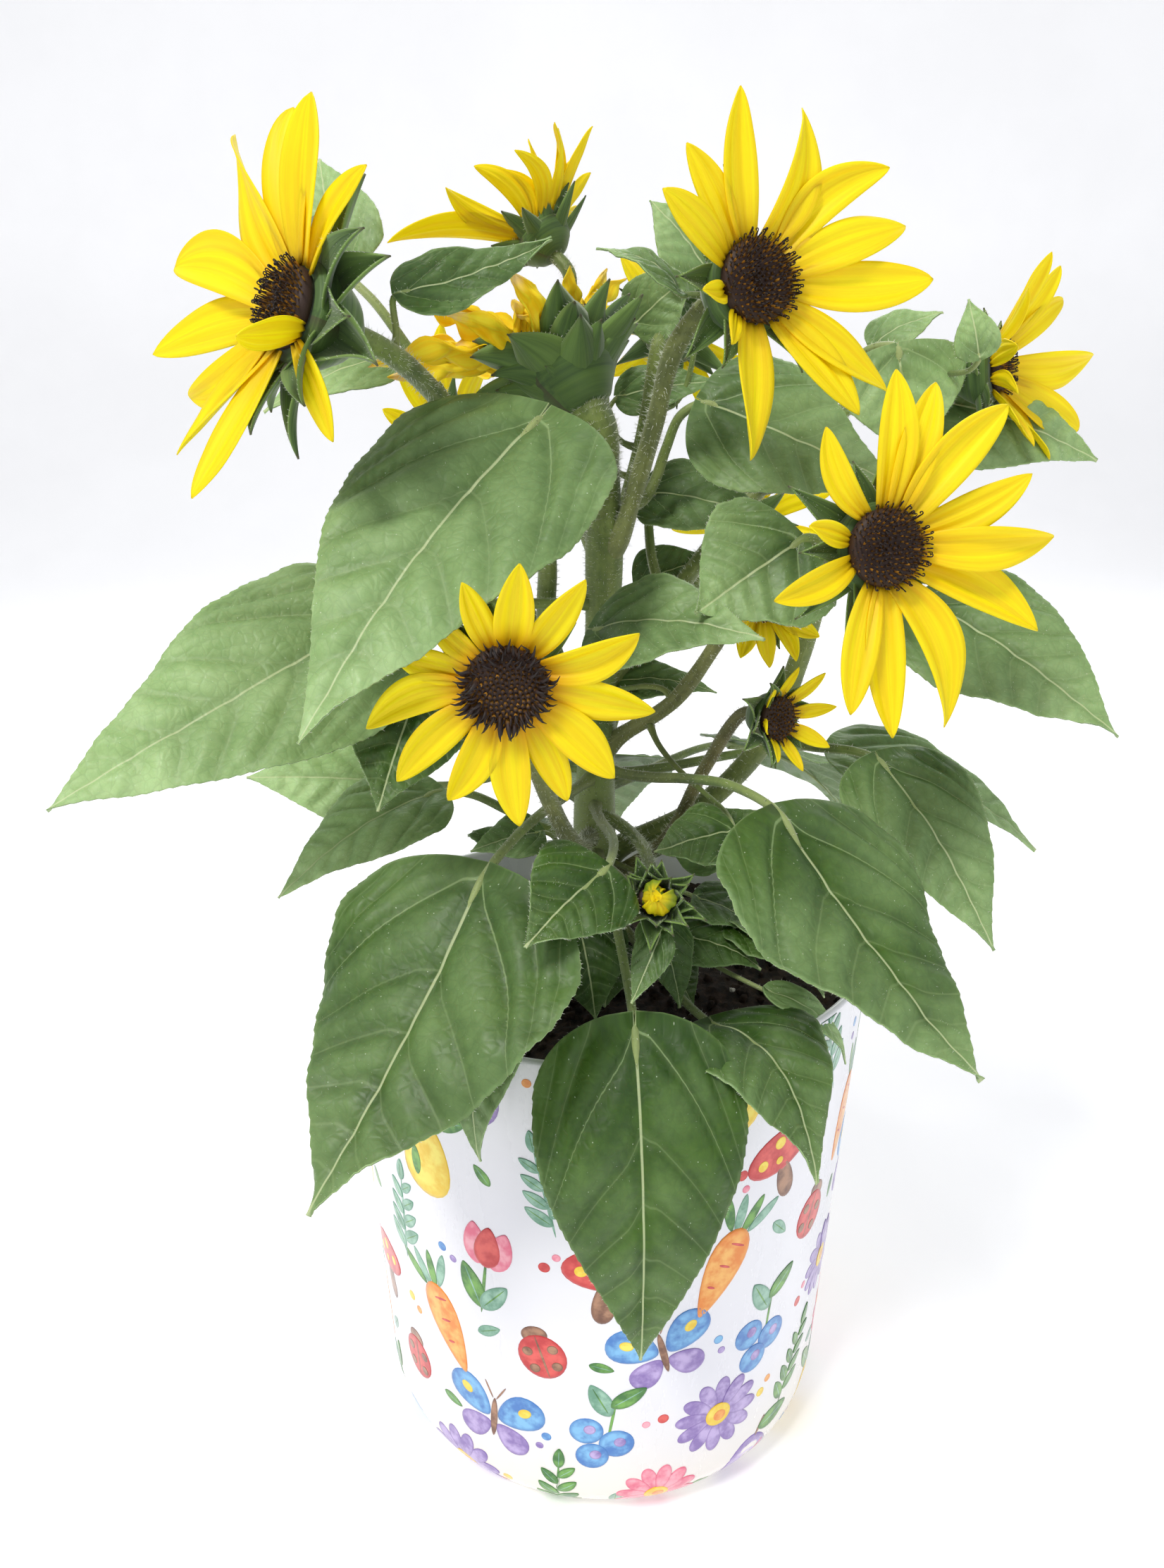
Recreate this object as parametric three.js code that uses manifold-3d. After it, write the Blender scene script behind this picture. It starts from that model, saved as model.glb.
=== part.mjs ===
// Potted sunflower plant with several blooms, buds and one fading head.
// Millimetres, +Z up. The origin is the middle of the flat underside of the pot.
import * as THREE from "three";
import { mergeVertices } from "three/addons/utils/BufferGeometryUtils.js";
import Module from "manifold-3d";

const wasm = await Module();
wasm.setup();

// Driving dimensions
const GAP = 0.3; // clear space between neighbouring solids
const PLANT_X = -3; // where the plant's upright axis stands
const POT = {
  height: 200,
  rimRadius: 100,
  footRadius: 88,
  corner: 20,
  cornerSteps: 3,
  wall: 3,
  floor: 4,
  lip: 1,
  sides: 30,
};
const SOIL = { top: 182, mound: 3, crownRadius: 20, shoulderRadius: 60 };
const STEM = { steps: 10, sides: 8 };
const SHOOT = { step: 18, sides: 6 };
const STALK = {
  rootRadius: 2.4,
  tipRadius: 1.6,
  smallRadius: 1.2,
  steps: 4,
  smallSteps: 2,
  sides: 4,
  sunk: 0.12, // how far it runs in under the blade, as a share of the blade's length
};
const BLADE = {
  thickness: 1.6,
  widest: 0.22, // share of the length at which the blade is widest
  roundness: 2.2,
  drawnOut: 1.55,
  shoulder: 0.05,
  leastHalfWidth: 0.8,
  fold: 0.12,
  droop: 0.14,
  lean: 0.5,
  stations: [0.01, 0.08, 0.24, 0.48, 0.74, 1],
  columns: [-1, -0.5, 0, 0.5, 1],
  plainWidth: 50, // narrower blades have one column each side of the midrib
  plainColumns: [-1, 0, 1],
};
const SMALL_BLADE = { keel: 1.6, stations: [0.02, 0.22, 0.6] };
const RAY = {
  keel: 0.5,
  plate: 1.2,
  root: 0.9, // share of the disc's radius at which a ray starts
  rootShare: 0.4,
  widthPerReach: 0.23,
  leastWidth: 4,
  fullness: 1.2,
  bend: -12,
  edgeLift: 0.12,
  stations: [0, 0.35, 0.7],
  plainStations: [0, 0.45],
};
const BRACT = {
  keel: 0.8,
  root: 0.75,
  rootShare: 0.75,
  length: 1.5,
  width: 0.6,
  rise: 6,
  bend: -10,
  count: 6,
};
const HEAD = { depthPerDisc: 1.35, domePerDisc: 0.34, dimple: 0.8, sides: 8 };

const COLOURS = {
  pot: 0xf1eff4,
  soil: 0x2b211b,
  stem: 0x5f7a3a,
  leaf: 0x3f6b3c,
  ray: 0xf7cf12,
  disc: 0x3a2116,
};

// The main stem: [x, y, z, radius] from the flat cut on the soil to the fading head.
const MAIN_STEM = [
  [PLANT_X, 0, SOIL.top + SOIL.mound + GAP, 8.2],
  [PLANT_X, 0, 196, 7],
  [-4, 0, 250, 6.7],
  [-2, 0, 300, 6.4],
  [-1, -2, 345, 6.3],
  [-2, -10, 372, 5.6],
];

// Blooms from the bud to the fading head. Each one names its shoot: the height and heading
// (degrees from +X) at which it leaves the main stem, its radii and the points it passes.
// centre is the middle of the disc, heading and rise say where the head looks, disc is the
// disc's radius, and each ray is [angle, reach from the centre, rise out of the disc's plane].
const BLOOMS = [
  {
    name: "upper_left",
    shoot: {
      height: 288,
      heading: 175,
      radii: [4, 3.4],
      via: [[-21, 5, 314], [-22, 3, 345], [-38, -8, 370], [-53, -34, 394]],
    },
    centre: [-84, -85, 415],
    heading: -141,
    rise: 18,
    disc: 14,
    rayWidth: 0.27,
    bracts: { count: 7, length: 1.7, width: 0.9, rise: 10 },
    rays: [
      [82, 50, 14], [54, 41, 0], [128, 57, 14], [104, 54, 6], [166, 60, 14], [-168, 60, 16],
      [-124, 52, 16], [-102, 56, 14], [-146, 50, 8], [-56, 39, -20], [-24, 26, 46],
    ],
  },
  {
    name: "upper_rear",
    shoot: { height: 350, heading: 125, radii: [3, 2.6], via: [[-15, 14, 372], [-22, 27, 405]] },
    centre: [-23, 17, 447],
    heading: 148,
    rise: 49,
    disc: 10,
    fusedDisc: true,
    plain: true,
    rays: [
      [-28, 54, 18], [-6, 44, 24], [18, 40, 28], [44, 37, 24], [72, 36, 26],
      [102, 38, 26], [138, 34, 22], [168, 38, 22], [-70, 34, 20],
    ],
  },
  {
    name: "fading",
    centre: [-16, -14, 408],
    heading: 150,
    rise: 60,
    disc: 16,
    fusedDisc: true,
    bracts: { count: 9, length: 1.5, width: 0.8, rise: 22 },
    plain: true,
    rays: [
      [-30, 64, 14], [-50, 56, 20], [-72, 46, 26], [-104, 43, 30], [-138, 40, 34],
      [-6, 48, 22], [24, 40, 36], [64, 32, 50], [108, 32, 50], [150, 42, 36], [-172, 38, 36],
    ],
  },
  {
    name: "upper_right",
    shoot: {
      height: 350,
      heading: -35,
      radii: [3.6, 3.1],
      via: [[9, -14, 366], [14, -27, 386], [19, -42, 408]],
    },
    centre: [38, -70, 423],
    heading: -65,
    rise: 8,
    disc: 13,
    rays: [
      [104, 46, 16], [71, 44, 12], [41, 48, 16], [19, 49, 11], [-1, 53, 15], [-38, 49, 11],
      [-54, 46, 17], [-100, 49, 12], [-128, 26, 36], [-165, 27, 38], [151, 39, 19], [127, 39, 12],
    ],
  },
  {
    name: "rear_middle",
    shoot: { height: 325, heading: 78, radii: [3.2, 2.8], via: [[4, 22, 345], [14, 28, 385]] },
    centre: [26, 44, 419],
    heading: 68,
    rise: 14,
    disc: 11,
    fusedDisc: true,
    plain: true,
    rays: [
      [90, 36, 18], [50, 35, 12], [10, 37, 18], [-30, 35, 12], [-70, 37, 17],
      [-110, 38, 11], [-150, 35, 17], [170, 36, 12], [130, 35, 18],
    ],
  },
  {
    name: "far_right",
    shoot: {
      height: 300,
      heading: 22,
      radii: [3.8, 3],
      via: [[24, 16, 325], [56, 31, 362], [92, 30, 395]],
    },
    centre: [130, 0, 404],
    heading: -32,
    rise: 5,
    disc: 11.5,
    plain: true,
    rays: [
      [92, 38, 34], [62, 40, 30], [38, 42, 26], [2, 54, 30], [-30, 52, 28], [-62, 46, 26],
      [-90, 40, 32], [-122, 34, 28], [-156, 32, 34], [168, 32, 28], [130, 34, 34],
    ],
  },
  {
    name: "right",
    shoot: {
      height: 232,
      heading: -2,
      radii: [4.8, 3.4],
      via: [[34, -4, 250], [58, -6, 278], [68, -6, 306], [73, -12, 334], [71, -42, 350]],
    },
    centre: [72, -95, 355],
    heading: -78,
    rise: 8,
    disc: 12.5,
    rays: [
      [90, 45, 11], [74, 44, 5], [51, 48, 10], [23, 45, 6], [1, 47, 11], [-26, 50, 6],
      [-69, 51, 10], [-90, 51, 6], [-107, 46, 11], [-158, 37, 14], [167, 27, 26], [124, 36, 8],
    ],
  },
  {
    name: "middle",
    shoot: { height: 276, heading: -20, radii: [3.3, 2.6], via: [[24, -14, 294], [38, -19, 316]] },
    centre: [50, -38, 333],
    heading: -72,
    rise: 8,
    disc: 8,
    plain: true,
    rays: [
      [-5, 20, 24], [-40, 22, 20], [-68, 23, 24], [-95, 23, 18], [-125, 23, 23],
      [-160, 29, 16], [162, 21, 26], [125, 20, 22], [85, 20, 28], [40, 19, 24],
    ],
  },
  {
    name: "half_open",
    shoot: { height: 222, heading: -24, radii: [2.8, 2.4], via: [[22, -14, 242], [34, -25, 272]] },
    centre: [54, -48, 296],
    heading: -52,
    rise: 5,
    disc: 8,
    fusedDisc: true,
    bracts: { count: 7, length: 1.8, width: 0.8, rise: 24 },
    plain: true,
    rays: [
      [85, 16, 42], [45, 18, 36], [5, 19, 34], [-35, 19, 34],
      [-80, 16, 42], [-125, 14, 50], [-175, 14, 56], [130, 14, 50],
    ],
  },
  {
    name: "front_left",
    shoot: {
      height: 240,
      heading: -105,
      radii: [3.3, 3],
      via: [[-10, -34, 246], [-17, -62, 268], [-25, -80, 298]],
    },
    centre: [-29, -104, 320],
    heading: -88,
    rise: -12,
    disc: 12,
    rays: [
      [83, 36, 11], [55, 37, 5], [23, 39, 10], [-10, 41, 5], [-40, 40, 11], [-64, 39, 5],
      [-87, 42, 11], [-115, 39, 5], [-141, 41, 11], [-167, 40, 5],
      [165, 33, 12], [138, 32, 0], [110, 31, 16],
    ],
  },
  {
    name: "bud",
    shoot: { height: 247, heading: -60, radii: [2.6, 2.4], via: [[11, -30, 247], [14, -58, 246]] },
    centre: [13, -88, 250],
    heading: -92,
    rise: 28,
    disc: 6.5,
    fusedDisc: true,
    bracts: { count: 8, length: 1.55, width: 0.9, rise: 40 },
    plain: true,
    rays: [[90, 9, 74], [18, 9, 74], [-54, 9, 74], [-126, 9, 74], [162, 9, 74]],
  },
  {
    name: "rear_left",
    shoot: { height: 280, heading: 140, radii: [3.8, 3], via: [[-24, 22, 308], [-38, 40, 338]] },
    centre: [-62, 70, 378],
    heading: 132,
    rise: 12,
    disc: 12.5,
    plain: true,
    rays: [
      [88, 46, 15], [56, 48, 8], [24, 47, 14], [-8, 50, 8], [-40, 48, 14], [-73, 46, 9],
      [-105, 50, 14], [-138, 47, 8], [-171, 49, 15], [155, 48, 9], [121, 46, 8],
    ],
  },
  {
    name: "rear_right",
    shoot: { height: 278, heading: 62, radii: [3.6, 3], via: [[14, 30, 300], [34, 50, 322]] },
    centre: [58, 80, 346],
    heading: 55,
    rise: 8,
    disc: 12,
    plain: true,
    rays: [
      [92, 44, 14], [60, 46, 8], [27, 45, 13], [-6, 47, 8], [-39, 46, 14], [-72, 44, 8],
      [-104, 47, 14], [-137, 45, 9], [-170, 46, 14], [158, 44, 8], [124, 46, 9],
    ],
  },
];

// Large leaves. on says what carries the leaf stalk and where: a height on the main stem, or a
// share of a shoot's length. foot and tip are [heading, reach, height] about the plant's
// upright axis; roll turns the blade about its midrib and arch is the midrib's bulge.
const LEAVES = [
  { name: "front", on: ["main", 233], width: 66,
    foot: [-84, 97, 214], tip: [-84, 121, 108] },
  { name: "front_left", on: ["main", 262], width: 76,
    foot: [-113, 92, 256], tip: [-119, 166, 182] },
  { name: "front_right", on: ["main", 266], width: 70,
    foot: [-60, 86, 282], tip: [-53, 170, 218] },
  { name: "left_broad", on: ["main", 358], width: 78, roll: -15,
    foot: [-110, 53, 388], tip: [-122, 147, 309] },
  { name: "left_long", on: ["main", 326], width: 72, roll: -50, arch: 0.08,
    foot: [-161, 62, 328], tip: [-154, 185, 276] },
  { name: "left_dark", on: ["main", 296], width: 44, roll: -15,
    foot: [-152, 56, 305], tip: [-138, 82, 262] },
  { name: "left_pale", on: ["main", 264], width: 44, roll: -60,
    foot: [148, 70, 264], tip: [171, 134, 263] },
  { name: "left_low", on: ["main", 238], width: 42, roll: -40,
    foot: [176, 56, 250], tip: [-160, 118, 231] },
  { name: "right_high", on: ["upper_right", 0.12], width: 60, roll: 55, arch: 0.06,
    foot: [-18, 33, 389], tip: [-14, 99, 374] },
  { name: "right_round", on: ["far_right", 0.62], width: 42, roll: 80, arch: 0.05,
    foot: [-3, 91, 411], tip: [-4, 101, 375] },
  { name: "right_tip", on: ["far_right", 0.5], width: 50, roll: 48, arch: 0.06,
    foot: [8, 94, 376], tip: [4, 166, 372] },
  { name: "right_folded", on: ["right", 0.84], width: 40, roll: -20, arch: 0.12,
    foot: [-42, 78, 361], tip: [-67, 75, 340] },
  { name: "right_long", on: ["right", 0.7], width: 54, roll: 50, arch: 0.06,
    foot: [-5, 114, 335], tip: [-20, 173, 293] },
  { name: "middle_right", on: ["main", 314], width: 34, roll: 20,
    foot: [-92, 44, 326], tip: [-60, 92, 328] },
  { name: "right_behind", on: ["right", 0.36], width: 44, roll: 35, arch: 0.08,
    foot: [-20, 101, 278], tip: [-33, 147, 229] },
  { name: "front_small", on: ["main", 252], width: 42,
    foot: [-82, 48, 236], tip: [-108, 84, 222] },
  { name: "rim_front_right", on: ["main", 210], width: 38, arch: 0.24,
    foot: [-56, 87, 201], tip: [-60, 133, 176] },
  { name: "rim_right", on: ["main", 211], width: 36,
    foot: [-27, 62, 218], tip: [-44, 102, 208] },
  { name: "rear_left_high", on: ["main", 338], width: 64,
    foot: [98, 60, 350], tip: [97, 160, 326] },
  { name: "rear_left_low", on: ["main", 250], width: 62,
    foot: [128, 70, 258], tip: [130, 166, 206] },
  { name: "rear_low", on: ["main", 240], width: 62, arch: 0.12,
    foot: [86, 80, 244], tip: [88, 160, 176] },
  { name: "rear_right_low", on: ["main", 262], width: 44, roll: 30,
    foot: [14, 96, 266], tip: [1, 168, 231] },
  { name: "rear_right_behind", on: ["main", 256], width: 60,
    foot: [46, 82, 258], tip: [40, 160, 206] },
];

// Small leaves that are part of what carries them, with their stalk sunk into it.
const SMALL_LEAVES = [
  { on: ["upper_left", 0.88], foot: [-131, 85, 421], tip: [-106, 52, 436], width: 24, roll: 50, arch: 0.14 },
  { on: ["upper_left", 0.6], foot: [180, 84, 435], tip: [168, 95, 470], width: 27, arch: 0.06 },
  { on: ["upper_left", 0.5], foot: [-176, 67, 407], tip: [-172, 110, 390], width: 22, roll: -50 },
  { on: ["upper_right", 0.88], foot: [-66, 57, 422], tip: [-92, 47, 434], width: 14, arch: 0.14 },
  { on: ["rear_middle", 0.55], foot: [68, 34, 420], tip: [33, 41, 437], width: 24, roll: 60 },
  { on: ["rear_middle", 0.68], foot: [24, 47, 438], tip: [48, 40, 459], width: 26, arch: 0.06 },
  { on: ["rear_middle", 0.45], foot: [78, 37, 396], tip: [35, 53, 401], width: 18, roll: 50 },
  { on: ["far_right", 0.95], foot: [8, 134, 409], tip: [10, 130, 429], width: 16, arch: 0.06 },
  { on: ["far_right", 0.75], foot: [18, 103, 413], tip: [15, 127, 424], width: 20, roll: 50, arch: 0.08 },
  { on: ["far_right", 0.2], foot: [38, 24, 364], tip: [0, 60, 354], width: 26, roll: 50 },
  { on: ["far_right", 0.14], foot: [62, 32, 329], tip: [27, 49, 339], width: 22, roll: 50 },
  { on: ["middle", 0.35], foot: [-20, 24, 290], tip: [-6, 50, 284], width: 24, roll: 50 },
  { on: ["half_open", 0.3], foot: [-56, 42, 237], tip: [-30, 69, 260], width: 30, roll: 30 },
  { on: ["bud", 0.8], foot: [-79, 90, 236], tip: [-89, 106, 222], width: 12, arch: 0.08 },
  { on: ["main", 218], foot: [-98, 27, 213], tip: [-112, 58, 199], width: 28 },
  { on: ["main", 202], foot: [-30, 36, 200], tip: [-20, 64, 212], width: 28 },
  { on: ["main", 228], foot: [-150, 24, 244], tip: [-157, 50, 239], width: 20, roll: -30 },
  { on: ["main", 216], foot: [128, 46, 224], tip: [126, 88, 212], width: 36 },
  { on: ["main", 222], foot: [36, 52, 226], tip: [34, 92, 213], width: 34 },
];

const UP = new THREE.Vector3(0, 0, 1);
const DEGREE = Math.PI / 180;

// Closed solids

function toSolid(geometry) {
  const bare = geometry.clone();
  bare.deleteAttribute("normal");
  bare.deleteAttribute("uv");
  const merged = mergeVertices(bare, 1e-4);
  return new wasm.Manifold(
    new wasm.Mesh({
      numProp: 3,
      vertProperties: merged.attributes.position.array,
      triVerts: new Uint32Array(merged.index.array),
    })
  );
}

function toGeometry(solid) {
  const mesh = solid.getMesh();
  const geometry = new THREE.BufferGeometry();
  geometry.setAttribute("position", new THREE.BufferAttribute(mesh.vertProperties, 3));
  geometry.setIndex(new THREE.BufferAttribute(mesh.triVerts, 1));
  geometry.computeVertexNormals();
  return geometry;
}

function fuse(geometries) {
  return geometries.map(toSolid).reduce((whole, piece) => whole.add(piece));
}

// A closed solid from vertices and corner triples.
function solidGeometry(points, corners) {
  const geometry = new THREE.BufferGeometry();
  geometry.setFromPoints(points);
  geometry.setIndex(corners);
  return geometry;
}

// Rings of equal count, each joined to the next, with a flat lid on the first and a lid or a
// point (a ring of one) at the last.
function ringSolid(rings) {
  const points = [];
  const corners = [];
  const starts = rings.map((ring) => points.push(...ring) - ring.length);
  const sides = rings[0].length;
  for (let i = 0; i + 1 < rings.length; i++) {
    const low = starts[i];
    const high = starts[i + 1];
    for (let k = 0; k < sides; k++) {
      const next = (k + 1) % sides;
      if (rings[i + 1].length === 1) corners.push(low + k, low + next, high);
      else corners.push(low + k, low + next, high + next, low + k, high + next, high + k);
    }
  }
  for (let k = 1; k + 1 < sides; k++) corners.push(starts[0], starts[0] + k + 1, starts[0] + k);
  const last = starts[starts.length - 1];
  if (rings[rings.length - 1].length > 1) {
    for (let k = 1; k + 1 < sides; k++) corners.push(last, last + k, last + k + 1);
  }
  return solidGeometry(points, corners);
}

// A tapering limb: round sections carried along a curve, kept square to it.
function limb(curve, radiusAt, steps, sides) {
  const rings = [];
  let across = new THREE.Vector3();
  for (let i = 0; i <= steps; i++) {
    const t = i / steps;
    const along = curve.getTangentAt(t);
    if (i === 0) across.crossVectors(along, Math.abs(along.z) < 0.9 ? UP : new THREE.Vector3(1, 0, 0));
    across = across.clone().addScaledVector(along, -across.dot(along)).normalize();
    const other = new THREE.Vector3().crossVectors(along, across);
    const middle = curve.getPointAt(t);
    const ring = [];
    for (let k = 0; k < sides; k++) {
      const turn = (2 * Math.PI * k) / sides;
      const spoke = across.clone().multiplyScalar(Math.cos(turn)).addScaledVector(other, Math.sin(turn));
      ring.push(middle.clone().addScaledVector(spoke, radiusAt(t)));
    }
    rings.push(ring);
  }
  return ringSolid(rings);
}

// A blade: a grid of points on a surface, given thickness along the surface's own normal.
function bladeSolid(surface, stations, columns, thickness) {
  const step = 0.01;
  const top = [];
  const bottom = [];
  for (const u of stations) {
    for (const s of columns) {
      const point = surface(u, s);
      const along = surface(Math.min(u + step, 1), s).sub(surface(Math.max(u - step, 0), s));
      const across = surface(u, s + step).sub(surface(u, s - step));
      const normal = along.cross(across).normalize();
      top.push(point.clone().addScaledVector(normal, thickness / 2));
      bottom.push(point.clone().addScaledVector(normal, -thickness / 2));
    }
  }
  const width = columns.length;
  const under = top.length;
  const corners = [];
  const face = (a, b, c, d) => corners.push(a, b, c, a, c, d);
  for (let i = 0; i + 1 < stations.length; i++) {
    for (let j = 0; j + 1 < width; j++) {
      const a = i * width + j;
      const b = a + width;
      face(a, b, b + 1, a + 1);
      face(under + a, under + a + 1, under + b + 1, under + b);
    }
    const left = i * width;
    const right = left + width - 1;
    face(left + width, left, under + left, under + left + width);
    face(right, right + width, under + right + width, under + right);
  }
  const end = (stations.length - 1) * width;
  for (let j = 0; j + 1 < width; j++) {
    face(j, j + 1, under + j + 1, under + j);
    face(end + j + 1, end + j, under + end + j, under + end + j + 1);
  }
  return solidGeometry([...top, ...bottom], corners);
}

// A slim spindle for rays, bracts and small leaves: two edges and a keel, and a pointed tip.
function spindleSolid(surface, stations, keel) {
  const step = 0.02;
  const rings = stations.map((u) => {
    const left = surface(u, -1);
    const right = surface(u, 1);
    const along = surface(u + step, 0).sub(surface(Math.max(u - step, 0), 0));
    const normal = along.cross(right.clone().sub(left)).normalize();
    return [left, surface(u, 0).addScaledVector(normal, -keel), right];
  });
  rings.push([surface(1, 0)]);
  return ringSolid(rings);
}

// The pot and its soil

function turned(profile, sides) {
  const geometry = new THREE.LatheGeometry(
    profile.map(([r, z]) => new THREE.Vector2(r, z)),
    sides
  );
  geometry.rotateX(Math.PI / 2);
  return geometry;
}

function wallRadius(z) {
  return POT.footRadius + (POT.rimRadius - POT.footRadius) * (z / POT.height);
}

// The radius of the flat inside the pot's rounded foot, for a wall standing in by inset.
function floorRadius(inset) {
  return wallRadius(POT.corner) - inset - POT.corner * 0.6;
}

function pot() {
  const { height, corner, cornerSteps, wall, floor, lip } = POT;
  const profile = [[0, 0]];
  for (let k = 0; k <= cornerSteps; k++) {
    const turn = (k / cornerSteps) * (Math.PI / 2);
    const z = corner * (1 - Math.cos(turn));
    profile.push([wallRadius(z) - corner * (1 - Math.sin(turn)), z]);
  }
  profile.push([wallRadius(height - lip), height - lip], [wallRadius(height) - lip, height]);
  profile.push([wallRadius(height) - wall, height - lip], [wallRadius(corner) - wall, corner]);
  profile.push([floorRadius(wall), floor], [0, floor]);
  return turned(profile, POT.sides);
}

function soil() {
  const { top, mound, crownRadius, shoulderRadius } = SOIL;
  const inset = POT.wall + GAP * 1.5;
  const foot = POT.floor + GAP;
  const profile = [
    [0, foot],
    [floorRadius(inset), foot],
    [wallRadius(POT.corner) - inset, POT.corner],
    [wallRadius(top) - inset, top],
    [shoulderRadius, top + mound / 2],
    [crownRadius, top + mound],
    [0, top + mound],
  ];
  return turned(profile, POT.sides);
}

// Stems and shoots

function polar([heading, reach, height]) {
  const turn = heading * DEGREE;
  return new THREE.Vector3(PLANT_X + reach * Math.cos(turn), reach * Math.sin(turn), height);
}

function curveThrough(points) {
  return new THREE.CatmullRomCurve3(points, false, "centripetal");
}

function mainCurve() {
  return curveThrough(MAIN_STEM.map(([x, y, z]) => new THREE.Vector3(x, y, z)));
}

function mainRadius(z) {
  for (let i = 0; i + 1 < MAIN_STEM.length; i++) {
    const [, , low, from] = MAIN_STEM[i];
    const [, , high, to] = MAIN_STEM[i + 1];
    if (z <= high) return from + ((to - from) * (z - low)) / (high - low);
  }
  return MAIN_STEM[MAIN_STEM.length - 1][3];
}

// The point of the main stem's axis at a height.
function mainAxis(z) {
  const curve = mainCurve();
  let low = 0;
  let high = 1;
  for (let k = 0; k < 30; k++) {
    const middle = (low + high) / 2;
    if (curve.getPointAt(middle).z < z) low = middle;
    else high = middle;
  }
  return curve.getPointAt(low);
}

// Where something leaves the main stem: clear of its surface, and square to it.
function offMain(height, heading, radius) {
  const out = new THREE.Vector3(Math.cos(heading * DEGREE), Math.sin(heading * DEGREE), 0);
  const axis = mainAxis(height);
  const lean = Math.abs(out.dot(mainAxis(height + 1).sub(axis).normalize()));
  const leaned = lean * (lean * mainRadius(height) + radius);
  const start = axis.addScaledVector(out, mainRadius(height) + leaned + GAP);
  const clear = start.clone().addScaledVector(out, radius * 1.6);
  return { start, clear, out };
}

function headFrame({ centre, heading, rise }) {
  const ahead = new THREE.Vector3(
    Math.cos(rise * DEGREE) * Math.cos(heading * DEGREE),
    Math.cos(rise * DEGREE) * Math.sin(heading * DEGREE),
    Math.sin(rise * DEGREE)
  );
  const right = new THREE.Vector3().crossVectors(UP, ahead).normalize();
  const up = new THREE.Vector3().crossVectors(ahead, right);
  const frame = new THREE.Matrix4().makeBasis(right, up, ahead);
  frame.setPosition(...centre);
  return { frame, ahead, centre: new THREE.Vector3(...centre) };
}

function headBack(bloom) {
  const { ahead, centre } = headFrame(bloom);
  return centre.addScaledVector(ahead, -bloom.disc * HEAD.depthPerDisc);
}

function shootCurve(bloom) {
  const { height, heading, radii, via } = bloom.shoot;
  const { start, clear } = offMain(height, heading, radii[0]);
  const { ahead } = headFrame(bloom);
  const back = headBack(bloom);
  const points = [start, clear, ...via.map((p) => new THREE.Vector3(...p))];
  points.push(back.clone().addScaledVector(ahead, -bloom.disc * 0.5), back.addScaledVector(ahead, 1));
  return curveThrough(points);
}

function shootRadius(bloom) {
  const [from, to] = bloom.shoot.radii;
  return (t) => from + (to - from) * t;
}

function sideShoot(bloom) {
  const curve = shootCurve(bloom);
  return limb(curve, shootRadius(bloom), Math.ceil(curve.getLength() / SHOOT.step), SHOOT.sides);
}

// The main stem, carried on into the back of the head it bears.
function mainStem(bloom) {
  const { ahead } = headFrame(bloom);
  const back = headBack(bloom);
  const neck = [back.clone().addScaledVector(ahead, -6), back.addScaledVector(ahead, 1)];
  const curve = curveThrough([...mainCurve().points, ...neck]);
  return limb(curve, (t) => mainRadius(curve.getPointAt(t).z), STEM.steps, STEM.sides);
}

// Leaves

// Half the blade's width as a share of its greatest: round shoulders, then a long drawn-out tip.
function bladeShare(u) {
  const { widest, roundness, drawnOut } = BLADE;
  if (u < widest) return Math.sqrt(1 - Math.pow(1 - u / widest, roundness));
  const v = (u - widest) / (1 - widest);
  return 1 - v + drawnOut * v * Math.pow(1 - v, 3);
}

// The blade's surface: u runs from foot to tip, s from edge to edge across the midrib.
function leafSurface({ foot, tip, width, roll = 0, arch = 0.1 }) {
  const from = polar(foot);
  const chord = polar(tip).sub(from);
  const along = chord.clone().normalize();
  const outward = new THREE.Vector3(from.x, from.y, 0).normalize();
  const normal = UP.clone().addScaledVector(outward, BLADE.lean);
  normal.addScaledVector(along, -normal.dot(along)).normalize();
  normal.applyAxisAngle(along, roll * DEGREE);
  const side = new THREE.Vector3().crossVectors(normal, along);
  const length = chord.length();
  return (u, s) => {
    const half = Math.max((width / 2) * bladeShare(u), BLADE.leastHalfWidth);
    const bulge = arch * length * 4 * u * (1 - u);
    const lift = BLADE.fold * half * Math.abs(s) - BLADE.droop * half * s * s;
    const back = BLADE.shoulder * length * s * s * Math.pow(1 - u, 4);
    return from
      .clone()
      .addScaledVector(chord, u)
      .addScaledVector(along, -back)
      .addScaledVector(normal, bulge + lift)
      .addScaledVector(side, half * s);
  };
}

// The leaf stalk: a curve that leaves its carrier square and runs in under the blade.
function stalkCurve(start, out, surface) {
  const foot = surface(0, 0);
  const inside = surface(STALK.sunk, 0);
  const run = inside.clone().sub(foot).normalize();
  const level = new THREE.Vector3(foot.x - start.x, foot.y - start.y, 0).normalize();
  const arriving = run.add(level).normalize();
  const reach = foot.distanceTo(start) * 0.35;
  const bend = new THREE.CubicBezierCurve3(
    start,
    start.clone().addScaledVector(out, reach),
    foot.clone().addScaledVector(arriving, -reach),
    foot
  );
  const points = [0, 0.12, 0.3, 0.5, 0.75, 1].map((t) => bend.getPoint(t));
  return curveThrough([...points, inside]);
}

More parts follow.
